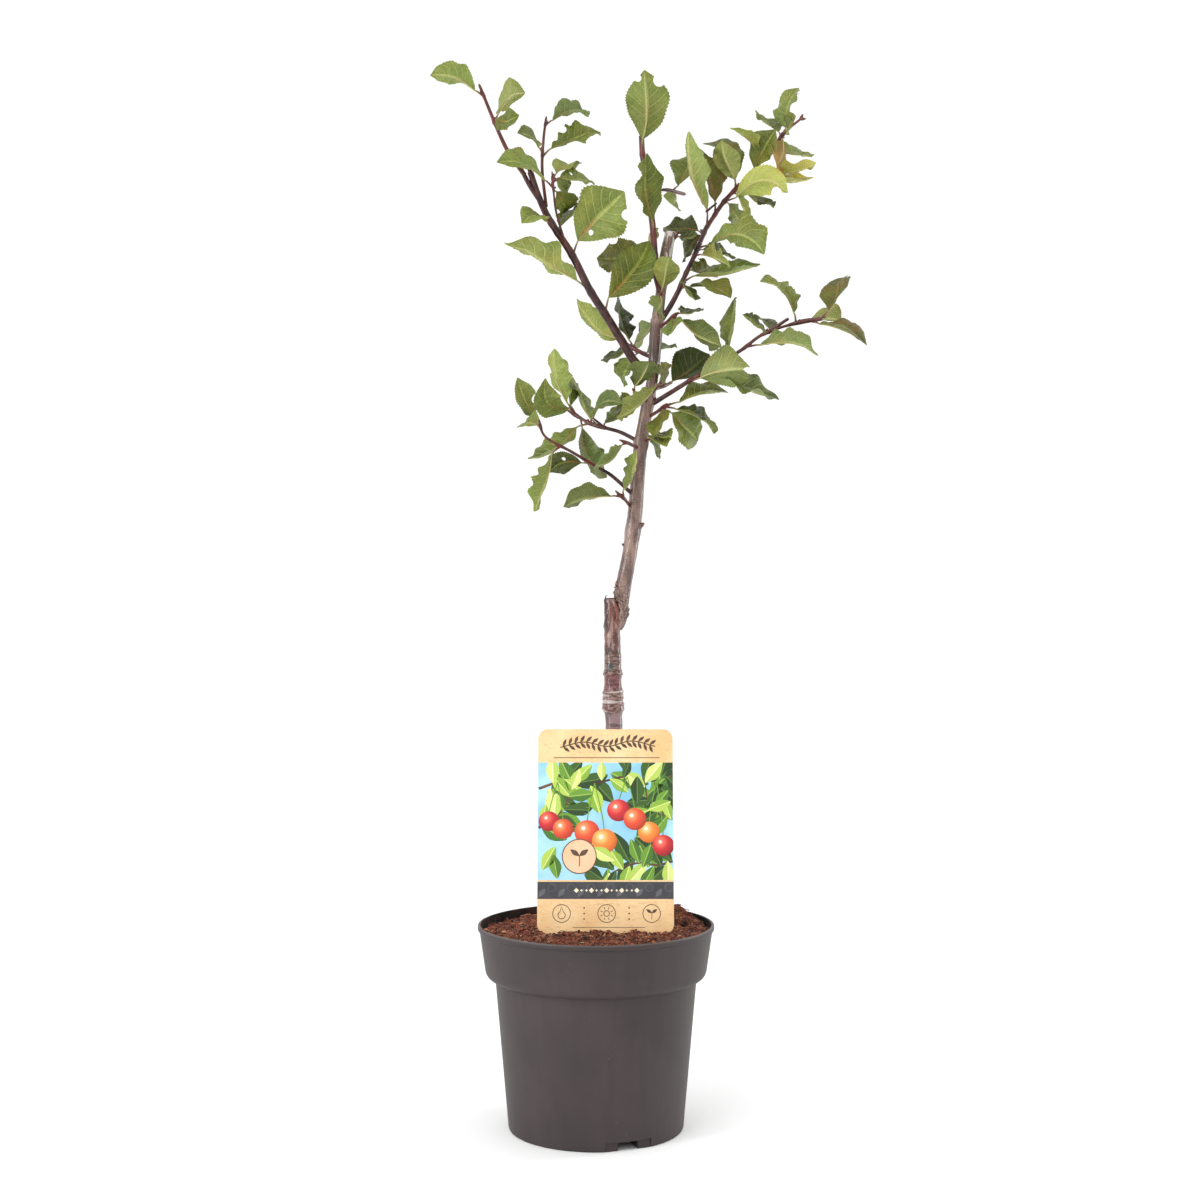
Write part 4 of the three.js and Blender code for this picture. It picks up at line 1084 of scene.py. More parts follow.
for x in (drop_x, sun_x, sprout_x):
    ring((x, sign_height), sign_radius, fine_line, 1, dark_ink)
turns = np.linspace(math.radians(118), math.radians(422), 24)
drop = [(drop_x + 3.3 * math.cos(turn), 17 + 3.3 * math.sin(turn)) for turn in turns] + [(drop_x, 24.6)]
stroke(drop + [drop[0]], fine_line, 1, dark_ink)
ring((sun_x, sign_height), 2.5, fine_line, 1, dark_ink)
for k in range(8):
    turn = math.radians(45 * k + 22.5)
    ray = [(sun_x + r * math.cos(turn), sign_height + r * math.sin(turn)) for r in (4, 6)]
    stroke(ray, fine_line, 1, dark_ink)
sprout(sprout_x, sign_height + 0.1, 5.4, 1, dark_ink)
for x in (-19.5, 21.5):
    for k in range(3):
        printed(ellipse((x, 13.5 + 5 * k), 0.8, 0.8, 0, steps=16), 1, dark_ink)
stroke(foot_rule, 0.5, 1, dark_ink)
ink.put("card_print", print_paints, "card", crease=30)


# The boughs and shoots. Young wood, thin and glossy, purple-brown on the boughs and redder on the newest
# shoots, with a node and a small bud at the foot of every leaf.
slimming, leader_thick = 0.84, 2
purple_skin, red_skin, bud_skin = range(3)
bud_chance = np.random.default_rng(11)
boughs = {
    "left_bough": {"route": [[53, 8, 703], [37.5, 3, 711], [24, -3, 731], [11, -9, 751]],
                   "thick": [5, 4.6]},
    "upright_shoot": {"route": [[60, 3, 778], [56, 4, 795], [55, 6, 808]], "thick": [3.4, 3.2]},
    "right_bough": {"route": [[60, 8, 750], [70, 9, 766], [78, 10, 781]], "thick": [3.1, 2.8]},
    "right_low_bough": {"route": [[54, 4, 674], [70, -6, 683], [85, -12, 692]], "thick": [2.8, 2.4]},
    "left_low_bough": {"route": [[42, 6, 637], [24, 12, 647], [9, 17, 652]], "thick": [2.4, 2]},
    "lowest_left_bough": {"route": [[36, 5, 587], [15, -6, 605], [1, -12, 613]], "thick": [2.2, 1.8]},
}

# A leaf is (share along its shoot, heading in degrees seen from the front, reach, share of its breadth
# that faces the front and is less than 0 when that is the underside, -1 forwards or 1 backwards, bend to
# the left of its heading, colour, and for a broad leaf its breadth against the usual).
masses = {
    "left_crown_low": {"from": "left_bough", "shoots": [
        {"route": [[11, -9, 751], [-6, -19, 776], [-22, -30, 806], [-42, -42, 835], [-52, -51, 855],
                    [-59, -58, 875]],
         "thick": [4.6, 3.3],
         "leaves": [(0.58, 174, 28, 0.35, -1, -0.2, "fresh"), (0.18, 144, 96, -0.45, -1, -0.05, "green"),
                    (0.4, 50, 76, 1, -1, 0.03, "fresh", 1.22), (0.04, 58, 79, 1, 1, -0.05, "green"),
                    (0.52, 55, 29, 0.2, 1, 0.07, "dark")]},
        {"route": [[-26, -33, 810], [-36, -52, 841], [-39, -62, 871]],
         "thick": [1.4, 1],
         "leaves": [(0.84, 156, 56, 0.4, -1, -0.22, "fresh"), (0.8, 300, 27, 0.95, 1, 0.06, "green", 1.2),
                    (0.92, 3, 37, 0.45, 1, 0.06, "fresh"), (0.96, 321, 22, 0.75, 1, -0.01, "light"),
                    (0.96, 29, 24, 0.45, 1, 0.17, "light")]},
        {"route": [[-45, -48, 846], [-49, -36, 882], [-48, -30, 911], [-46, -24, 931]],
         "thick": [1.9, 1.4],
         "leaves": [(0.48, 28, 61, 0.55, 1, 0.05, "green"), (0.92, 16, 45, 0.5, 1, 0.17, "cool"),
                    (0.52, 143, 29, 0.35, -1, -0.19, "green")]},
    ]},
    "left_crown_tip": {"from": "left_crown_low", "shoots": [
        {"route": [[-64, -58, 872], [-79, -66, 892], [-91, -76, 917], [-102, -84, 943]],
         "thick": [2.6, 1.6],
         "leaves": [(0.92, 160, 50, -0.65, -1, -0.19, "fresh"), (0.64, 48, 38, -0.5, 1, 0.17, "light"),
                    (0.64, 23, 21, 0.75, -1, -0.08, "green")]},
    ]},
    "upright_crown": {"from": "upright_shoot", "shoots": [
        {"route": [[55, 6, 808], [53, 12, 842], [48, 18, 881], [44, 23, 910], [43, 26, 929]],
         "thick": [3.2, 2.6],
         "leaves": [(0.76, 89, 81, -1, -1, -0.06, "dark"), (0.18, 91, 77, 0.6, -1, 0.03, "green"),
                    (0.02, 180, 55, 0.75, 1, -0.03, "olive", 1.2),
                    (0.04, 91, 22, -0.4, -1, 0.02, "light")]},
        {"route": [[49, 17, 872], [65, 38, 881], [85, 64, 883]],
         "thick": [1.6, 1.2],
         "leaves": [(0.72, 63, 46, 0.75, 1, 0.03, "green"), (0.72, 276, 14, -0.65, -1, -0.06, "green")]},
    ]},
    "right_crown_low": {"from": "right_bough", "shoots": [
        {"route": [[78, 10, 781], [85, 14, 798], [92, 19, 813], [104, 28, 842]],
         "thick": [2.8, 2.6],
         "leaves": [(0.1, 312, 20, 0.3, -1, 0.05, "dark"), (0.14, 18, 76, 0.2, 1, 0, "fresh"),
                    (0.04, 347, 48, 0.35, -1, 0.21, "olive"), (0.32, 19, 28, 0.8, 1, -0.05, "olive"),
                    (0.7, 342, 34, -0.35, -1, 0.14, "light"), (0.76, 349, 34, 0.35, 1, 0.13, "dark"),
                    (0.8, 353, 62, 0.6, -1, 0.36, "fresh", 1.2), (0.94, 172, 38, 0.7, 1, -0.09, "dark"),
                    (0.96, 229, 36, 0.65, 1, -0.08, "dark")]},
    ]},
    "right_crown_mid": {"from": "right_crown_low", "shoots": [
        {"route": [[104, 28, 842], [123, 38, 871], [143, 46, 892]],
         "thick": [2.6, 2.3],
         "leaves": [(0.04, 99, 92, -0.35, -1, 0.01, "light"), (0.24, 97, 68, 0.6, 1, -0.04, "brown"),
                    (0.48, 7, 62, -1, -1, 0.26, "yellow", 1.25), (0.48, 310, 30, 0.9, 1, 0, "fresh"),
                    (0.7, 308, 34, -0.35, -1, 0.01, "fresh"), (0.82, 340, 35, 0.3, 1, -0.07, "dark"),
                    (0.76, 106, 48, -0.95, -1, 0.02, "light"), (0.8, 126, 57, 0.5, 1, -0.26, "brown")]},
    ]},
    "right_crown_tip": {"from": "right_crown_mid", "shoots": [
        {"route": [[143, 46, 892], [158, 52, 911], [183, 60, 942], [198, 66, 956]],
         "thick": [2.3, 1.4],
         "leaves": [(0.42, 360, 44, 0.3, 1, 0.1, "light"), (0.16, 9, 62, -0.2, -1, -0.02, "yellow"),
                    (0.12, 1, 60, 0.2, 1, -0.05, "yellow"), (0.6, 259, 27, -0.75, -1, -0.01, "orange"),
                    (0.6, 71, 51, 0.55, 1, 0.14, "fresh"), (0.08, 62, 52, 0.8, 1, 0.06, "green", 1.15),
                    (0.6, 136, 32, 0.3, 1, -0.08, "green"), (0.64, 61, 20, 0.5, -1, 0.08, "green"),
                    (0.36, 136, 43, -0.3, -1, -0.18, "yellow")]},
    ]},
    "right_low_near": {"from": "right_low_bough", "shoots": [
        {"route": [[85, -12, 692], [109.5, -14, 705], [135.4, -17, 721.4]],
         "thick": [2.4, 2],
         "leaves": [(0, 13, 64, -0.95, -1, 0.08, "cool", 1.2), (0.22, 343, 77, 0.35, 1, 0.1, "cool"),
                    (0.64, 81, 62, 0.35, 1, 0.05, "fresh")]},
    ]},
    "right_low_far": {"from": "right_low_near", "shoots": [
        {"route": [[135.4, -17, 721.4], [154.9, -22, 735], [184.6, -31, 743.6], [206, -40, 745.8]],
         "thick": [2, 1],
         "leaves": [(0.06, 357, 71, -0.4, -1, 0.17, "cool"), (0.68, 5, 39, -0.45, 1, 0.14, "green"),
                    (0.8, 340, 60, 0.25, -1, 0.16, "brown"), (1, 74, 43, 0.7, 1, -0.03, "brown"),
                    (0.66, 129, 54, 0.3, 1, -0.22, "green"), (0.34, 129, 27, 0.2, -1, 0, "dark"),
                    (0.38, 117, 15, 0.5, 1, -0.08, "dark")]},
    ]},
    "left_low_crown": {"from": "left_low_bough", "shoots": [
        {"route": [[9, 17, 652], [-6, 23, 657], [-25, 32, 669]],
         "thick": [2, 1.4],
         "leaves": [(0.92, 106, 64, -0.6, -1, 0.01, "fresh"), (0.86, 128, 43, 1, -1, 0.3, "fresh", 1.25),
                    (0.86, 103, 54, 0.25, 1, -0.11, "fresh"), (0.28, 112, 41, 0.3, 1, -0.01, "fresh"),
                    (0.52, 32, 37, 0.45, -1, 0.27, "cool"), (0.08, 43, 33, 0.6, 1, -0.03, "cool"),
                    (0.52, 209, 67, 0.4, -1, 0.03, "green"), (0.76, 299, 62, 0.6, 1, -0.11, "cool")]},
    ]},
    "lowest_left_crown": {"from": "lowest_left_bough", "shoots": [
        {"route": [[1, -12, 613], [-22, -22, 626], [-46, -32, 639], [-52, -38, 654]],
         "thick": [1.8, 1.2],
         "leaves": [(0.9, 115, 48, 0.8, -1, 0.03, "fresh"), (0.84, 167, 20, -0.7, -1, -0.13, "fresh"),
                    (0.1, 194, 38, 1, 1, -0.15, "dark"), (0.48, 245, 66, -0.3, -1, -0.02, "fresh")]},
    ]},
    "lowest_spur": {"from": "trunk", "shoots": [
        {"route": [[33, 6, 576], [27, -7, 583], [20, -14, 589]],
         "thick": [2, 1.4],
         "leaves": [(0.64, 77, 45, 0.3, 1, 0, "fresh"), (0.76, 189, 56, -0.45, -1, -0.14, "deep")]},
    ]},
    "low_left_spur": {"from": "trunk", "shoots": [
        {"route": [[41, 6, 631], [31, -7, 635], [24, -14, 637]],
         "thick": [1.9, 1.3],
         "leaves": [(0.64, 216, 36, -0.25, -1, 0, "cool")]},
    ]},
    "low_right_spur": {"from": "trunk", "shoots": [
        {"route": [[42, 7, 637], [50, -4, 640], [56, -12, 644]],
         "thick": [1.8, 1.2],
         "leaves": [(0.8, 335, 14, 0.5, -1, 0, "light"), (1, 5, 13, 0.3, -1, 0, "fresh"),
                    (0.8, 275, 18, 0.5, 1, 0, "fresh")]},
    ]},
    "mid_right_spur": {"from": "trunk", "shoots": [
        {"route": [[49, 7, 661], [59, -8, 666], [66, -16, 670]],
         "thick": [2.1, 1.5],
         "leaves": [(1, 11, 57, 0.3, 1, 0.18, "green"), (0.86, 336, 55, 0.25, 1, 0.15, "dark"),
                    (0.66, 321, 48, 0.85, -1, 0.02, "fresh", 1.25), (0.72, 243, 27, 0.5, -1, 0, "olive")]},
    ]},
    "mid_upper_spur": {"from": "trunk", "shoots": [
        {"route": [[52, 8, 686], [62, 19, 691], [70, 27, 695]],
         "thick": [2, 1.4],
         "leaves": [(0.62, 35, 52, 0.75, 1, 0.05, "deep", 1.3), (0.6, 89, 22, 0.55, -1, 0, "olive")]},
    ]},
    "mid_left_spur": {"from": "trunk", "shoots": [
        {"route": [[49, 7, 675], [42, -8, 678], [35, -16, 682]],
         "thick": [2, 1.4],
         "leaves": [(1, 66, 34, -0.9, -1, 0, "deep", 1.3), (0.64, 211, 27, 0.7, 1, -0.04, "olive")]},
    ]},
    "mid_front_spur": {"from": "trunk", "shoots": [
        {"route": [[52, 7, 683], [57, -7, 688], [60, -13, 691]],
         "thick": [1.9, 1.4],
         "leaves": [(1, 216, 53, -0.4, -1, 0, "green")]},
    ]},
    "fork_spur": {"from": "trunk", "shoots": [
        {"route": [[54, 8, 716], [42, 22, 724], [32, 30, 731]],
         "thick": [2.4, 1.6],
         "leaves": [(0.96, 134, 66, -0.5, 1, 0.11, "fresh"), (0.84, 101, 50, 0.5, 1, 0.02, "deep"),
                    (0.8, 62, 29, -0.35, 1, 0.01, "cool"), (0.36, 16, 29, 0.35, 1, 0.1, "cool"),
                    (0.88, 195, 28, 0.3, 1, 0.05, "deep"), (0.56, 239, 38, 0.6, 1, -0.09, "fresh")]},
    ]},
    "top_right_spur": {"from": "trunk", "shoots": [
        {"route": [[57, 9, 743], [68, -6, 750], [74, -15, 754]],
         "thick": [2, 1.4],
         "leaves": [(0.66, 256, 17, 0.7, -1, 0.02, "fresh"), (0.92, 15, 18, 0.3, 1, 0.04, "dark"),
                    (0.74, 331, 53, -0.5, -1, 0, "deep")]},
    ]},
    "top_spur": {"from": "trunk", "shoots": [
        {"route": [[60, 9, 765], [60, -7, 768], [60, -15, 772]],
         "thick": [1.9, 1.3],
         "leaves": [(1, 77, 36, -1, -1, 0, "dark"), (0.86, 250, 15, -0.7, -1, 0, "olive")]},
    ]},
    "crest_spur": {"from": "trunk", "shoots": [
        {"route": [[67, 10, 820], [73, 22, 830], [78, 30, 839]],
         "thick": [1.9, 1.3],
         "leaves": [(0.64, 9, 22, 0.45, 1, -0.01, "dark")]},
    ]},
}
# Swollen wood where shoots fork: its line, its radii and its skin
joints = [
    ([(-52, -51, 853), (-60, -56, 864), (-67, -59.5, 877)], (2.5, 2.2, 1.9), purple_skin),
    ([(-57, -57, 870), (-59.5, -58.4, 876), (-60.5, -59, 879)], (2.3, 1.9, 1.2), purple_skin),
    ([(158, -23, 735.5), (167.2, -25, 742), (176.5, -26, 748)], (1.9, 1.6, 1.4), red_skin),
    ([(104, 24.5, 857), (108.5, 25.5, 861), (114, 28, 866)], (1.2, 1.1, 0.9), purple_skin),
    ([(8, 17, 652), (2, 15, 657), (-3, 13, 661)], (1.5, 1.2, 0.8), purple_skin),
]
# The right crown ends in two buds: the way that each points
end_buds_at, end_buds = (198, 66, 956), ((0.45, 0, 0.9), (0.95, 0.1, 0.1))


def slimmer(limb, name):
    """Only the upright leader is as stout as its solid"""
    share = 1 if name.startswith("upright") and limb["thick"][0] > leader_thick else slimming
    return {**limb, "thick": [share * radius for radius in limb["thick"]]}


wood = Heap()
for index, (name, bough) in enumerate(boughs.items()):
    skin = red_skin if name.startswith("upright") else purple_skin
    wood.add(*limb_body(slimmer(bough, name), 20, 1.8, bark_relief(60 + index, 0.12)), which=skin)


def shoot_relief(curve, feet, seed):
    """Fine ridges, with a node at each leaf's foot"""
    heights = [float(curve.at(foot)[2]) for foot in feet]

    def relief(turn, height):
        total = 0.07 * ripple(turn * 2, height, 4, seed)
        for node_height in heights:
            total = total + 0.4 * np.exp(-(((height - node_height) / 1.8) ** 2))
        return total
    return relief


for number, (name, mass) in enumerate(masses.items()):
    for index, shoot in enumerate(mass["shoots"]):
        curve = Curve(shoot["route"])
        feet = [leaf[0] for leaf in shoot["leaves"]]
        young = index or shoot["thick"][0] < 2.7 or name.startswith("upright")
        relief = shoot_relief(curve, feet, 80 + number)
        wood.add(*limb_body(slimmer(shoot, name), 14, 1.8, relief),
                 which=red_skin if young else purple_skin)
        for foot, heading, reach, *_ in shoot["leaves"]:
            turn = math.radians(heading)
            toward = np.array([math.cos(turn), 0.2 * bud_chance.uniform(-1, 1), math.sin(turn)])
            radius = float(radius_at(shoot, curve, foot))
            toward = unit(toward + 0.9 * curve.heading(foot))
            at = curve.at(foot) + radius * 0.7 * toward + 0.8 * curve.heading(foot)
            size = bud_chance.uniform(2.4, 3.8)
            wood.add(*bud(at, toward + 0.5 * curve.heading(foot), size, size * 0.32), which=bud_skin)
        if shoot["thick"][-1] < 1.8 and max(feet) < 1:
            wood.add(*bud(curve.at(1.0), curve.heading(1.0), 4.2, shoot["thick"][-1] * 0.8), which=bud_skin)

for line, radii, skin in joints:
    thick = np.interp(np.linspace(0, 2, 7), (0, 1, 2), radii)
    wood.add(*tube(Curve(line).at(np.linspace(0, 1, 7)), thick, 12), which=skin)
for toward in end_buds:
    wood.add(*bud(end_buds_at, toward, 6, 1.6), which=bud_skin)

purple_wood = Paint("purple_wood", "321517", 0.34, shine=0.15, coat=(0.45, 0.16))
red_wood = Paint("red_wood", "4c1c18", 0.36, shine=0.15, coat=(0.5, 0.16))
for paint, low, high, fleck in ((purple_wood, "220c0e", "46201f", "75523f"),
                                (red_wood, "3a120f", "64281f", "86683f")):
    shade = paint.mix(paint.noise(70, 3).between(0.35, 0.65), colour(low), colour(high))
    # Soft pale streaks along the limbs: a painted sheen that stands in for the glossy highlight down each
    # limb
    skin = paint.noise(260, 4, stretch=(1, 1, 0.4)).between(0.42, 0.72)
    shade = paint.mix(skin * 0.3, shade, colour("7a5247"))
    dots = paint.noise(1100, 2).between(0.64, 0.70)
    paint.set("Base Color", paint.mix(dots * 0.7, shade, colour(fleck)))
    paint.set("Roughness", 0.26 + 0.2 * paint.noise(240, 3))
    paint.relief(dots * 0.5 + paint.noise(420, 3) * 0.5, 0.0003)
wood.put("boughs_and_shoots", [purple_wood, red_wood, trunk_paints[scale_skin]], "young_bark", list(boughs),
         crease=45)


# The leaves. Thin blades with a toothed edge, folded along the midrib and quilted between the side veins,
# on a short stalk that runs on as the rib underneath. Each takes its place by the rule that the solids grew
# by, down to has_room, and is then drawn finer.
viewer = np.array([3.7, -1654, 490])
full_reach, depth_share = 66, 0.45
stalk_share, stalk_lean, stalk_sunk = 0.18, 0.35, 1.5
flattest, blade_breadth, breadth_spread = 0.2, 0.6, 0.12
blade_skew, blade_fullness, blade_fold = 0.95, 0.75, 0.36
least_bow, bow_spread = 0.04, 0.08
leaf_to_leaf, leaf_to_own, leaf_to_limb, limb_sample_step = 4.5, 1.5, 2.6, 4
depth_tries = (1, 0.55, 1.4, -1, -0.55, 1.9, -1.6)
growth_seed = 41
tooth_count, tooth_depth, vein_count, vein_rise = 22, 0.10, 7, 0.27
half_breadth, edge_skew, edge_fullness, blade_thickness = 0.555, 1.14, 0.76, 0.4
droop_span, most_twist, uneven_edge = (-0.03, 0.14), 0.6, 0.055
wave_span, wave_height, quilt_height, dimple_height = (0.5, 1.4), 0.065, 0.02, 0.3
along_shares = np.linspace(0, 1, 3 * tooth_count + 1)
across_shares = np.array([-1, -0.86, -0.7, -0.52, -0.34, -0.15, 0, 0.15, 0.34, 0.52, 0.7, 0.86, 1])
# The sides of a cell in the blade's sheet: the step to the next cell, and the corners at its ends
cell_sides = [((-1, 0), 0, 1), ((0, 1), 1, 2), ((1, 0), 2, 3), ((0, -1), 3, 0)]
stalk_radii, rib_radii, rib_end, rib_drop, rib_sides = (1.15, 0.85), (0.8, 0.18), 0.86, 0.25, 6
leaf_chance = np.random.default_rng(5)
# What insects ate: (share along the blade, place across it from -1 to 1, radius)
bites = {
    ("left_crown_low", 2): [(0.80, 1, 6), (0.21, 0.32, 2.5)],
    ("left_crown_low", 6): [(0.5, 1, 5)], ("left_crown_low", 7): [(0.38, -0.45, 2), (0.62, 1, 4)],
    ("left_crown_low", 10): [(0.55, 1, 4), (0.35, -1, 5), (0.78, -1, 3)],
    ("upright_crown", 0): [(0.83, -1, 6), (0.9, 1, 4)], ("upright_crown", 2): [(0.7, 1, 5)],
    ("right_low_near", 0): [(0.93, -0.7, 6)],
    ("right_low_far", 3): [(0.75, 1, 3)], ("right_low_far", 4): [(0.5, 1, 6)],
    ("lowest_left_crown", 0): [(0.35, 1, 5)], ("lowest_left_crown", 2): [(0.45, 0.3, 1.8)],
    ("lowest_left_crown", 3): [(0.3, 1, 5), (0.6, -1, 5)],
    ("left_low_crown", 0): [(0.6, 1, 4)], ("left_low_crown", 3): [(0.5, 1, 4)],
    ("left_low_crown", 5): [(0.7, 1, 5)], ("left_low_crown", 7): [(0.55, 1, 5)],
    ("mid_right_spur", 1): [(0.7, -1, 4), (0.5, 1, 3)],
    ("right_crown_mid", 0): [(0.35, 1, 4), (0.7, -1, 4)], ("right_crown_mid", 1): [(0.8, 1, 4)],
    ("right_crown_mid", 2): [(0.86, -1, 6)], ("right_crown_mid", 3): [(0.4, -1, 5), (0.65, 1, 3)],
    ("right_crown_tip", 4): [(0.75, 1, 4)], ("right_crown_low", 4): [(0.6, 1, 4)],
    ("right_crown_low", 3): [(0.5, -1, 4)], ("fork_spur", 5): [(0.5, -1, 5)],
    ("mid_left_spur", 0): [(0.3, 1, 4)],
}
# Blades that are drawn narrower, as if curled in at their edges: the share of their breadth that is left
curled = {
    ("right_crown_mid", 2): 0.72, ("lowest_left_crown", 0): 0.78, ("left_low_crown", 1): 0.8,
    ("right_crown_tip", 4): 0.8, ("left_crown_low", 3): 0.84,
}


def chance_from(start):
    """The growth rule's even chance, the same at each run"""
    def times(a, b):
        return (a * b) & 0xFFFFFFFF
    state = start
    while True:
        state = (state + 0x6D2B79F5) & 0xFFFFFFFF
        mixed = times(state ^ (state >> 15), state | 1)
        mixed ^= (mixed + times(mixed ^ (mixed >> 7), mixed | 61)) & 0xFFFFFFFF
        yield (mixed ^ (mixed >> 14)) / 4294967296


class Blade:
    """Where one leaf lies, from its row and its chance draws"""

    def __init__(self, curve, row, breadth_draw, bow_draw, lean):
        share, heading, reach, show, away, bend = row[:6]
        full = row[7] if len(row) > 7 else 1
        self.foot, self.tangent = curve.at(share), curve.heading(share)
        turn = math.radians(heading)
        long = reach + depth_share * max(0, full_reach - reach)
        depth = math.sqrt(long ** 2 - reach ** 2 + (flattest * long) ** 2) * away * lean
        seen_tip = self.foot + reach * np.array([math.cos(turn), 0, math.sin(turn)])
        self.tip = viewer + (seen_tip - viewer) * (1 + depth / (seen_tip[1] - viewer[1]))
        reached = self.tip - self.foot
        stalk = unit(unit(reached) + stalk_lean * self.tangent)
        self.base = self.foot + stalk * np.linalg.norm(reached) * stalk_share
        self.length = float(np.linalg.norm(self.tip - self.base))
        self.along = unit(self.tip - self.base)
        self.left = unit(np.cross(unit(viewer - self.foot), self.along))
        self.front = unit(np.cross(self.along, self.left) * np.sign(show))
        facing = min(1, abs(show))
        sideways = math.sqrt(1 - facing ** 2) * (-1 if self.left[2] < 0 else 1)
        self.normal = unit(self.front * facing + self.left * sideways)
        self.breadth = self.length * blade_breadth * full * (1 + breadth_spread * (breadth_draw - 0.5))
        self.bow = 4 * self.length * (least_bow + bow_spread * bow_draw)
        self.swing = 4 * self.length * bend

    def line(self, t):
        """The midrib's places, and the directions across the blade and out of its upper face"""
        t = np.asarray(t, float)[..., None]
        middle = (self.base + self.along * self.length * t
                  + (self.left * self.swing + self.front * self.bow) * t * (1 - t))
        onward = unit(self.along * self.length
                      + (self.left * self.swing + self.front * self.bow) * (1 - 2 * t))
        side = unit(np.cross(onward, self.normal))
        return middle, side, np.cross(side, onward)

    def samples(self):
        """Places all over the blade, to try whether it has room"""
        t = np.repeat([0.12, 0.27, 0.42, 0.57, 0.72, 0.87], 5)
        across = np.tile([-1, -0.5, 0, 0.5, 1], 6)[:, None]
        middle, side, face = self.line(t)
        half = 0.5 * self.breadth * (np.sin(math.pi * t ** blade_skew) ** blade_fullness)[:, None]
        places = (middle + side * across * half * math.cos(blade_fold)
                  + face * (np.abs(across) - 1) * half * math.sin(blade_fold))
        return np.vstack([places, self.tip])


limb_places, limb_radii = [], []
all_shoots = [shoot for mass in masses.values() for shoot in mass["shoots"]]
for limb in [rootstock, scion, *boughs.values(), *all_shoots]:
    curve = Curve(limb["route"])
    shares = np.linspace(0, 1, math.ceil(curve.length() / limb_sample_step) + 1)
    limb_places.append(curve.at(shares))
    limb_radii.append(radius_at(limb, curve, shares))
limb_places, limb_radii = np.vstack(limb_places), np.concatenate(limb_radii)
leaf_places, leaf_keeps = np.zeros((0, 3)), []


def has_room(blade, name):
    """A leaf has room where its blade keeps clear of every limb and of the other leaves"""
    global leaf_places
    samples = blade.samples()
    apart = np.linalg.norm(samples[:, None] - limb_places, axis=2)
    if (apart < limb_radii + leaf_to_limb).any():
        return False
    if len(leaf_places):
        keep = np.array([leaf_to_own if owner == name else leaf_to_leaf for owner in leaf_keeps])
        if (np.linalg.norm(samples[:, None] - leaf_places, axis=2) < keep).any():
            return False
    leaf_places = np.vstack([leaf_places, samples])
    leaf_keeps.extend([name] * len(samples))
    return True


def smooth(low, high, x):
    """0 below low, 1 above high, with a smooth change from one to the other"""
    x = np.clip((x - low) / (high - low), 0, 1)
    return x * x * (3 - 2 * x)


def any_seed():
    return int(leaf_chance.integers(1, 9999))


def blade_rows(blade):
    """The middle of each row and the ways onward, across and out of it, with the leaf's droop and twist"""
    middle, side, face = blade.line(along_shares)
    onward = np.cross(face, side)
    droop = smooth(0.55, 1, along_shares) ** 2 * leaf_chance.uniform(*droop_span) * blade.length
    middle = middle - face * droop[:, None]
    twist = (along_shares - 0.4)[:, None] * leaf_chance.uniform(-most_twist, most_twist)
    return (middle, onward, side * np.cos(twist) + face * np.sin(twist),
            face * np.cos(twist) - side * np.sin(twist))


def blade_sheet(blade):
    """Each corner's place on the flattened blade, half the breadth of each row, and each corner's lift"""
    t, a = along_shares, across_shares
    outline = np.sin(math.pi * t ** edge_skew) ** edge_fullness * (1 - 0.3 * smooth(0.8, 1, t))
    half = half_breadth * blade.breadth * np.maximum(outline, 0.012)
    tooth = 1 - np.abs(2 * ((t * tooth_count + 0.15) % 1) - 1) ** 1.3
    width = half[:, None] * a
    for column, sign in ((0, -1), (len(a) - 1, 1)):
        uneven = uneven_edge * ripple((t * 10,), 4.5, any_seed(), 4) * np.sin(math.pi * t)
        toothed = half * (1 + tooth_depth * tooth * (1 - smooth(0.93, 1, t)) - 0.03 + uneven)
        width[:, column] = sign * toothed
        width[:, column - sign] = sign * (0.86 + 0.8 * uneven) * half
    fold = np.abs(a) - 1 + 0.22 * np.sin(math.pi * np.abs(a))
    lift = fold * half[:, None] * math.sin(blade_fold)
    phase = (t[:, None] - vein_rise * np.abs(a) ** 1.15) * vein_count
    quilt = np.abs(np.sin(math.pi * phase)) ** 0.7 * (1 - np.abs(a) ** 3) * np.sin(math.pi * t)[:, None]
    lift = lift + quilt_height * blade.length ** 0.9 * quilt * np.minimum(1, np.abs(a) * 4)
    for sign in (-1, 1):
        wave = ripple((t * 10,), leaf_chance.uniform(2.2, 4.2), any_seed(), 5) * np.sin(math.pi * t) ** 0.6
        size = leaf_chance.uniform(*wave_span) * wave_height * blade.breadth
        lift = lift + size * wave[:, None] * np.where(a * sign > 0, np.abs(a) ** 2.2, 0)
    flat = np.stack([np.broadcast_to((t * blade.length)[:, None], width.shape), width], axis=-1)
    dimples = ripple((flat[..., 0], flat[..., 1]), 7, any_seed(), 6)
    return flat, half, lift + dimple_height * dimples * outline[:, None]


def bitten(blade, flat, half, eaten):
    """Which cells of the sheet are left, and how the corners round a bite move on to its edge"""
    kept = np.ones((len(flat) - 1, flat.shape[1] - 1), bool)
    shift = np.zeros_like(flat)
    middles = (flat[1:, 1:] + flat[:-1, 1:] + flat[1:, :-1] + flat[:-1, :-1]) / 4
    for bite_t, bite_a, radius in eaten:
        centre = np.array([bite_t * blade.length, bite_a * float(np.interp(bite_t, along_shares, half))])
        gone = np.linalg.norm(middles - centre, axis=-1) < radius
        kept &= ~gone
        beside = np.zeros(flat.shape[:2], bool)
        for k, i in zip(*np.nonzero(gone)):
            beside[k:k + 2, i:i + 2] = True
        out = flat + shift - centre
        reach = np.maximum(np.linalg.norm(out, axis=-1, keepdims=True), 1e-6)
        moved = shift + out / reach * (radius - reach)
        shift = np.where(beside[..., None] & (reach > 0.3 * radius), moved, shift)
    return kept, shift


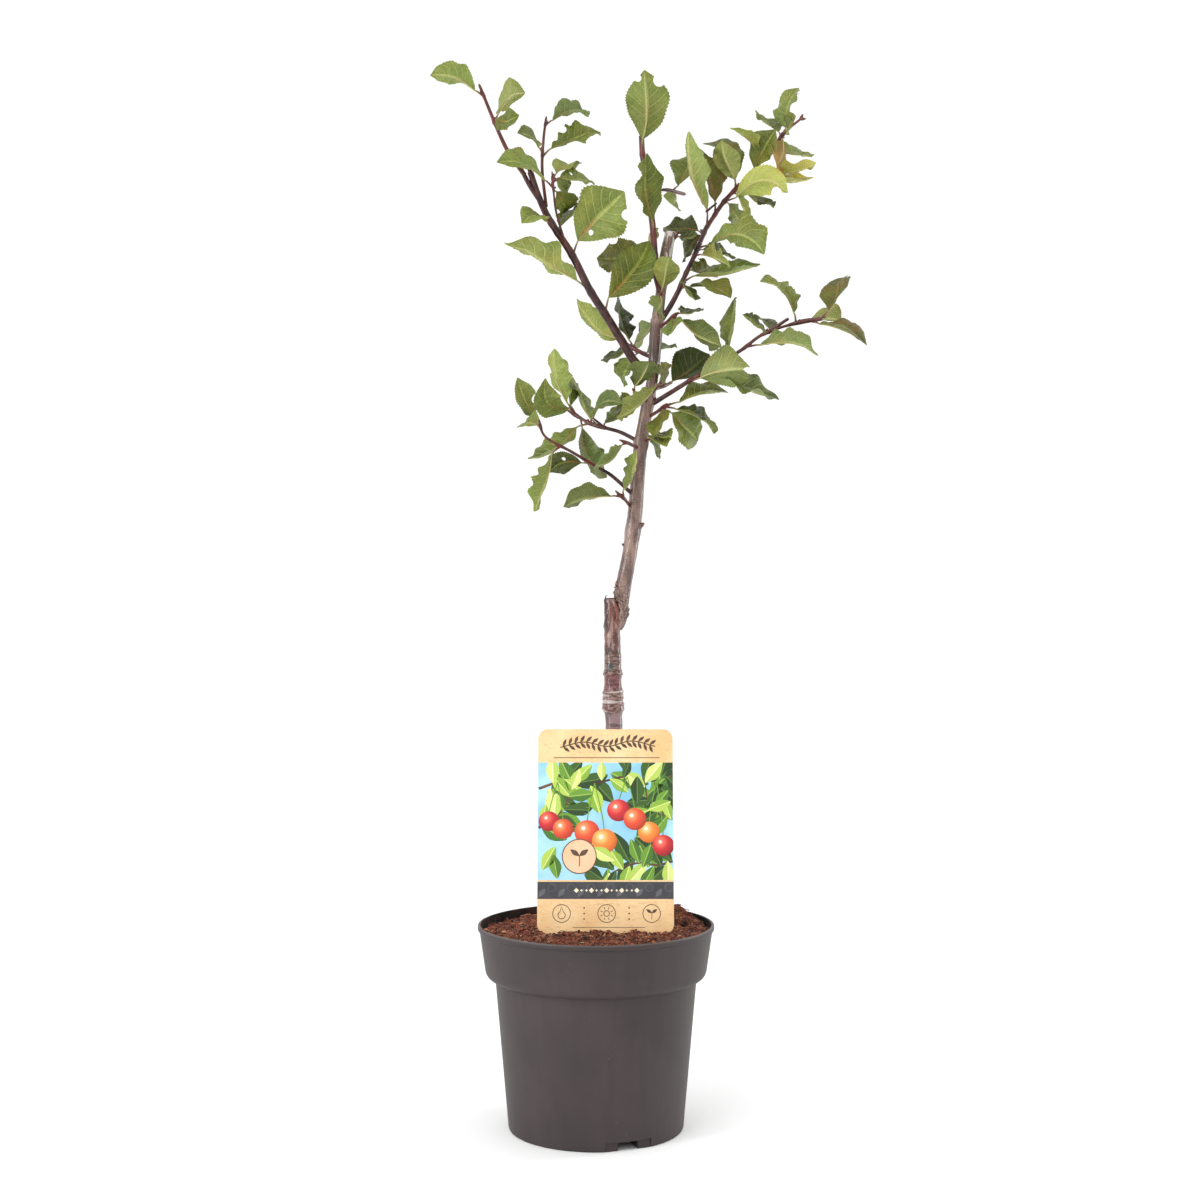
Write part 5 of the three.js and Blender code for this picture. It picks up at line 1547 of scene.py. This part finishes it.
def by_corner(over_columns, over_rows):
    """Two values at each corner of the sheet, one by its column and one by its row"""
    both = np.broadcast_arrays(over_columns[None, :], over_rows[:, None])
    return np.stack(both, axis=-1).reshape(-1, 2)


def stalk_and_rib(blade, under_rib):
    """A line that leaves the shoot in a curve and runs on under the blade, with its radii"""
    root = blade.foot - blade.tangent * stalk_sunk
    bends = np.linspace(0, 1, 5)[:-1, None]
    elbow = blade.foot + unit(blade.base - blade.foot) * 0.45 * np.linalg.norm(blade.base - blade.foot)
    stalk = (1 - bends) ** 2 * root + 2 * bends * (1 - bends) * elbow + bends ** 2 * blade.base
    rib_shares = np.linspace(0, rib_end, 9)
    rib = np.stack([np.interp(rib_shares, along_shares, under_rib[:, axis]) for axis in range(3)], axis=1)
    size = 0.75 + 0.25 * min(1, blade.length / 60)
    radii = size * np.concatenate([np.linspace(*stalk_radii, 4), np.linspace(*rib_radii, 9)])
    return np.vstack([stalk, rib]), radii


def grow_leaf(heap, blade, skins, cell, cells, eaten):
    """The blade as a closed sheet with its own outline, its stalk and its rib, mapped to one cell"""
    top_skin, under_skin, stalk_skin = skins
    columns, under = len(across_shares), len(along_shares) * len(across_shares)
    middle, onward, side, face = blade_rows(blade)
    flat, half, lift = blade_sheet(blade)
    kept, shift = bitten(blade, flat, half, eaten)
    top = (middle[:, None] + onward[:, None] * shift[..., :1]
           + side[:, None] * ((flat[..., 1] + shift[..., 1]) * math.cos(blade_fold))[..., None]
           + face[:, None] * lift[..., None])
    low = top - face[:, None] * blade_thickness
    places = np.vstack([top.reshape(-1, 3), low.reshape(-1, 3)])

    x0, y0, span = (cell % cells) / cells, (cell // cells) / cells, 1 / cells
    bake = by_corner(x0 + span * (0.03 + 0.43 * np.arange(columns) / (columns - 1)),
                     y0 + span * (0.16 + 0.8 * along_shares))
    bake = np.vstack([bake, bake + [0.51 * span, 0]])
    seat = by_corner(0.5 + 0.5 * across_shares, along_shares)
    seat = np.vstack([seat, seat])

    walled = np.pad(kept, 1)
    faces, which, mapped = [], [], []
    for k, i in zip(*np.nonzero(kept)):
        corners = [k * columns + i, k * columns + i + 1, (k + 1) * columns + i + 1, (k + 1) * columns + i]
        below = [under + corner for corner in corners[::-1]]
        faces += [corners, below]
        mapped += corners + below
        which += [top_skin, under_skin]
        for (row_step, column_step), first, last in cell_sides:
            if not walled[k + 1 + row_step, i + 1 + column_step]:
                p, q = corners[first], corners[last]
                faces.append([q, p, under + p, under + q])
                mapped += [q, p, p, q]
                which.append(under_skin)
    used, faces = np.unique(np.array(faces), return_inverse=True)
    heap.add(places[used], faces.reshape(-1, 4).tolist(), which,
             {"OFBake": bake[mapped], "leaf": seat[mapped]})

    line, radii = stalk_and_rib(blade, low[:, columns // 2] - rib_drop * face)
    rib_places, rib_faces = tube(line, radii, rib_sides)
    end = len(radii) - 1
    strip = [(k + up, i + on) for k in range(end) for i in range(rib_sides)
             for up, on in ((0, 0), (0, 1), (1, 1), (1, 0))]
    strip += [(0, c) for i in range(rib_sides) for c in (i, i + 1, i)]
    strip += [(end, c) for i in range(rib_sides) for c in (i, i, i + 1)]
    bake = [(x0 + span * (0.03 + 0.94 * k / end), y0 + span * (0.03 + 0.08 * c / rib_sides))
            for k, c in strip]
    seat = [(0.5, k / end) for k, _ in strip]
    heap.add(rib_places, rib_faces, stalk_skin, {"OFBake": bake, "leaf": seat})


def leaf_paint(name, main, deep, vein, rough, stain=None):
    """One side of a leaf, with its veins drawn by their place on the blade: u across it and t along it"""
    paint = Paint(name, main, rough, shine=0.3)
    u, t = (paint.axis(letter, paint.on_map("leaf")) for letter in "XY")
    across = abs(2 * u - 1)
    strayed = t + 0.05 * (paint.noise(50, 2) - 0.5) - vein_rise * across ** 1.15
    wave = abs((strayed * (math.pi * vein_count)).sine())
    side_vein = (1 - wave.between(0.03, 0.32)) * (1 - across.between(0.75, 1.0))
    rib = 1 - across.between(0.03, 0.13)
    cloudy = paint.noise(38, 4)
    tint = paint.noise(26, 3)
    shade = paint.mix(cloudy.between(0.36, 0.64), colour(deep), colour(main))
    shade = paint.mix(paint.noise(150, 3).between(0.42, 0.64) * 0.35, shade, colour(deep))
    shade = paint.mix(1 - tint.between(0.38, 0.54), shade, (0.86, 1.0, 0.96, 1), "MULTIPLY")
    shade = paint.mix(tint.between(0.52, 0.66), shade, (1.12, 0.99, 0.78, 1), "MULTIPLY")
    if stain:
        shade = paint.mix(paint.noise(55, 3).between(0.50, 0.60) * 0.55, shade, colour(stain))
    net = paint.node("ShaderNodeTexVoronoi", {"feature": "DISTANCE_TO_EDGE"},
                     {"Vector": paint.place(), "Scale": 300.0}, "Distance")
    shade = paint.mix((1 - net.between(0.0, 0.14)) * 0.2, shade, colour(vein))
    dry = paint.noise(60, 3).between(0.54, 0.68) * across.between(0.75, 1.0)
    shade = paint.mix(dry * 0.35, shade, colour("8f6a2c"))
    # A darker band a little way off each side vein: painted shade on the slopes of the quilting
    beside = wave.between(0.3, 0.55) * (1 - wave.between(0.55, 0.95))
    shade = paint.mix(beside * 0.22, shade, colour(deep))
    shade = paint.mix(side_vein * 0.68, shade, colour(vein))
    rib_shade = paint.mix(t.between(0.05, 0.55), colour("a4633f"), colour(vein))
    shade = paint.mix(rib * 0.85, shade, rib_shade)
    paint.set("Base Color", shade)
    paint.set("Roughness", rough - 0.07 + 0.14 * cloudy)
    paint.relief(net.between(0.0, 0.3) * 0.15 + (1 - side_vein) * 0.85, 0.0007, 0.8)
    return paint


stalk_paints, green_stalked = [], ("green", "olive")
for name, foot_shade, end_shade in (("red_stalk", "5e2a20", "aaa868"), ("green_stalk", "6e4a30", "a6ae6c")):
    stalk = Paint(name, foot_shade, 0.4)
    towards_tip = stalk.axis("Y", stalk.on_map("leaf")) + 0.25 * stalk.noise(130, 2)
    stalk.set("Base Color",
              stalk.mix(towards_tip.between(0.25, 0.6), colour(foot_shade), colour(end_shade)))
    stalk.relief(stalk.noise(900, 2), 0.0002)
    stalk_paints.append(stalk)

# Each kind's upper face, where it is deeper and its veins, and the same for its underside
leaf_shades = {
    "green": ("6a7323", "4d5619", "989d4d", "8a9148", "757e3b", "b4b675"),
    "dark": ("465013", "333a0d", "757b36", "7b833d", "666f2f", "a4a668"),
    "deep": ("3a4413", "2b340e", "656d38", "5f6930", "4d5727", "8c9259"),
    "fresh": ("77823a", "606c2b", "aab064", "90994b", "7b863e", "bdbe75"),
    "light": ("828b3b", "69732d", "b4b66f", "989f57", "848c47", "c1c081"),
    "yellow": ("b8b048", "a69a38", "cbb45a", "b0b25a", "9a9e4a", "cdc47c"),
    "olive": ("656920", "4d5118", "8e8c46", "848947", "6f753b", "aaa56e"),
    "orange": ("ad7530", "8f6e2c", "b08445", "98763a", "827138", "b29054"),
    "cool": ("637034", "4c5825", "959c5c", "859052", "6e7a41", "acb277"),
    "brown": ("5f6322", "4a4d1a", "847a36", "7c8040", "686c33", "9c9860"),
}
leaf_paints = {}
for name, shades in leaf_shades.items():
    stain = "6e5226" if name == "brown" else None
    leaf_paints[name] = [leaf_paint(name + "_leaf", *shades[:3], 0.42, stain),
                         leaf_paint(name + "_underside", *shades[3:], 0.6, stain)]

draw = chance_from(growth_seed)
for name, mass in masses.items():
    rows = [row for shoot in mass["shoots"] for row in shoot["leaves"]]
    kinds = sorted({row[6] for row in rows})
    paints = [paint for kind in kinds for paint in leaf_paints[kind]] + stalk_paints
    cells = math.ceil(math.sqrt(len(rows)))
    leaves = Heap()
    cell = 0
    for shoot in mass["shoots"]:
        curve = Curve(shoot["route"])
        for row in shoot["leaves"]:
            draws = next(draw), next(draw)
            for lean in depth_tries:
                blade = Blade(curve, row, *draws, lean)
                if has_room(blade, name):
                    blade.breadth *= curled.get((name, cell), 1)
                    skin = 2 * kinds.index(row[6])
                    stalk_skin = len(paints) - (1 if row[6] in green_stalked else 2)
                    grow_leaf(leaves, blade, (skin, skin + 1, stalk_skin), cell, cells,
                              bites.get((name, cell), ()))
                    break
            cell += 1
    leaves.put("leaves_" + name, paints, "foliage", [name], crease=50)
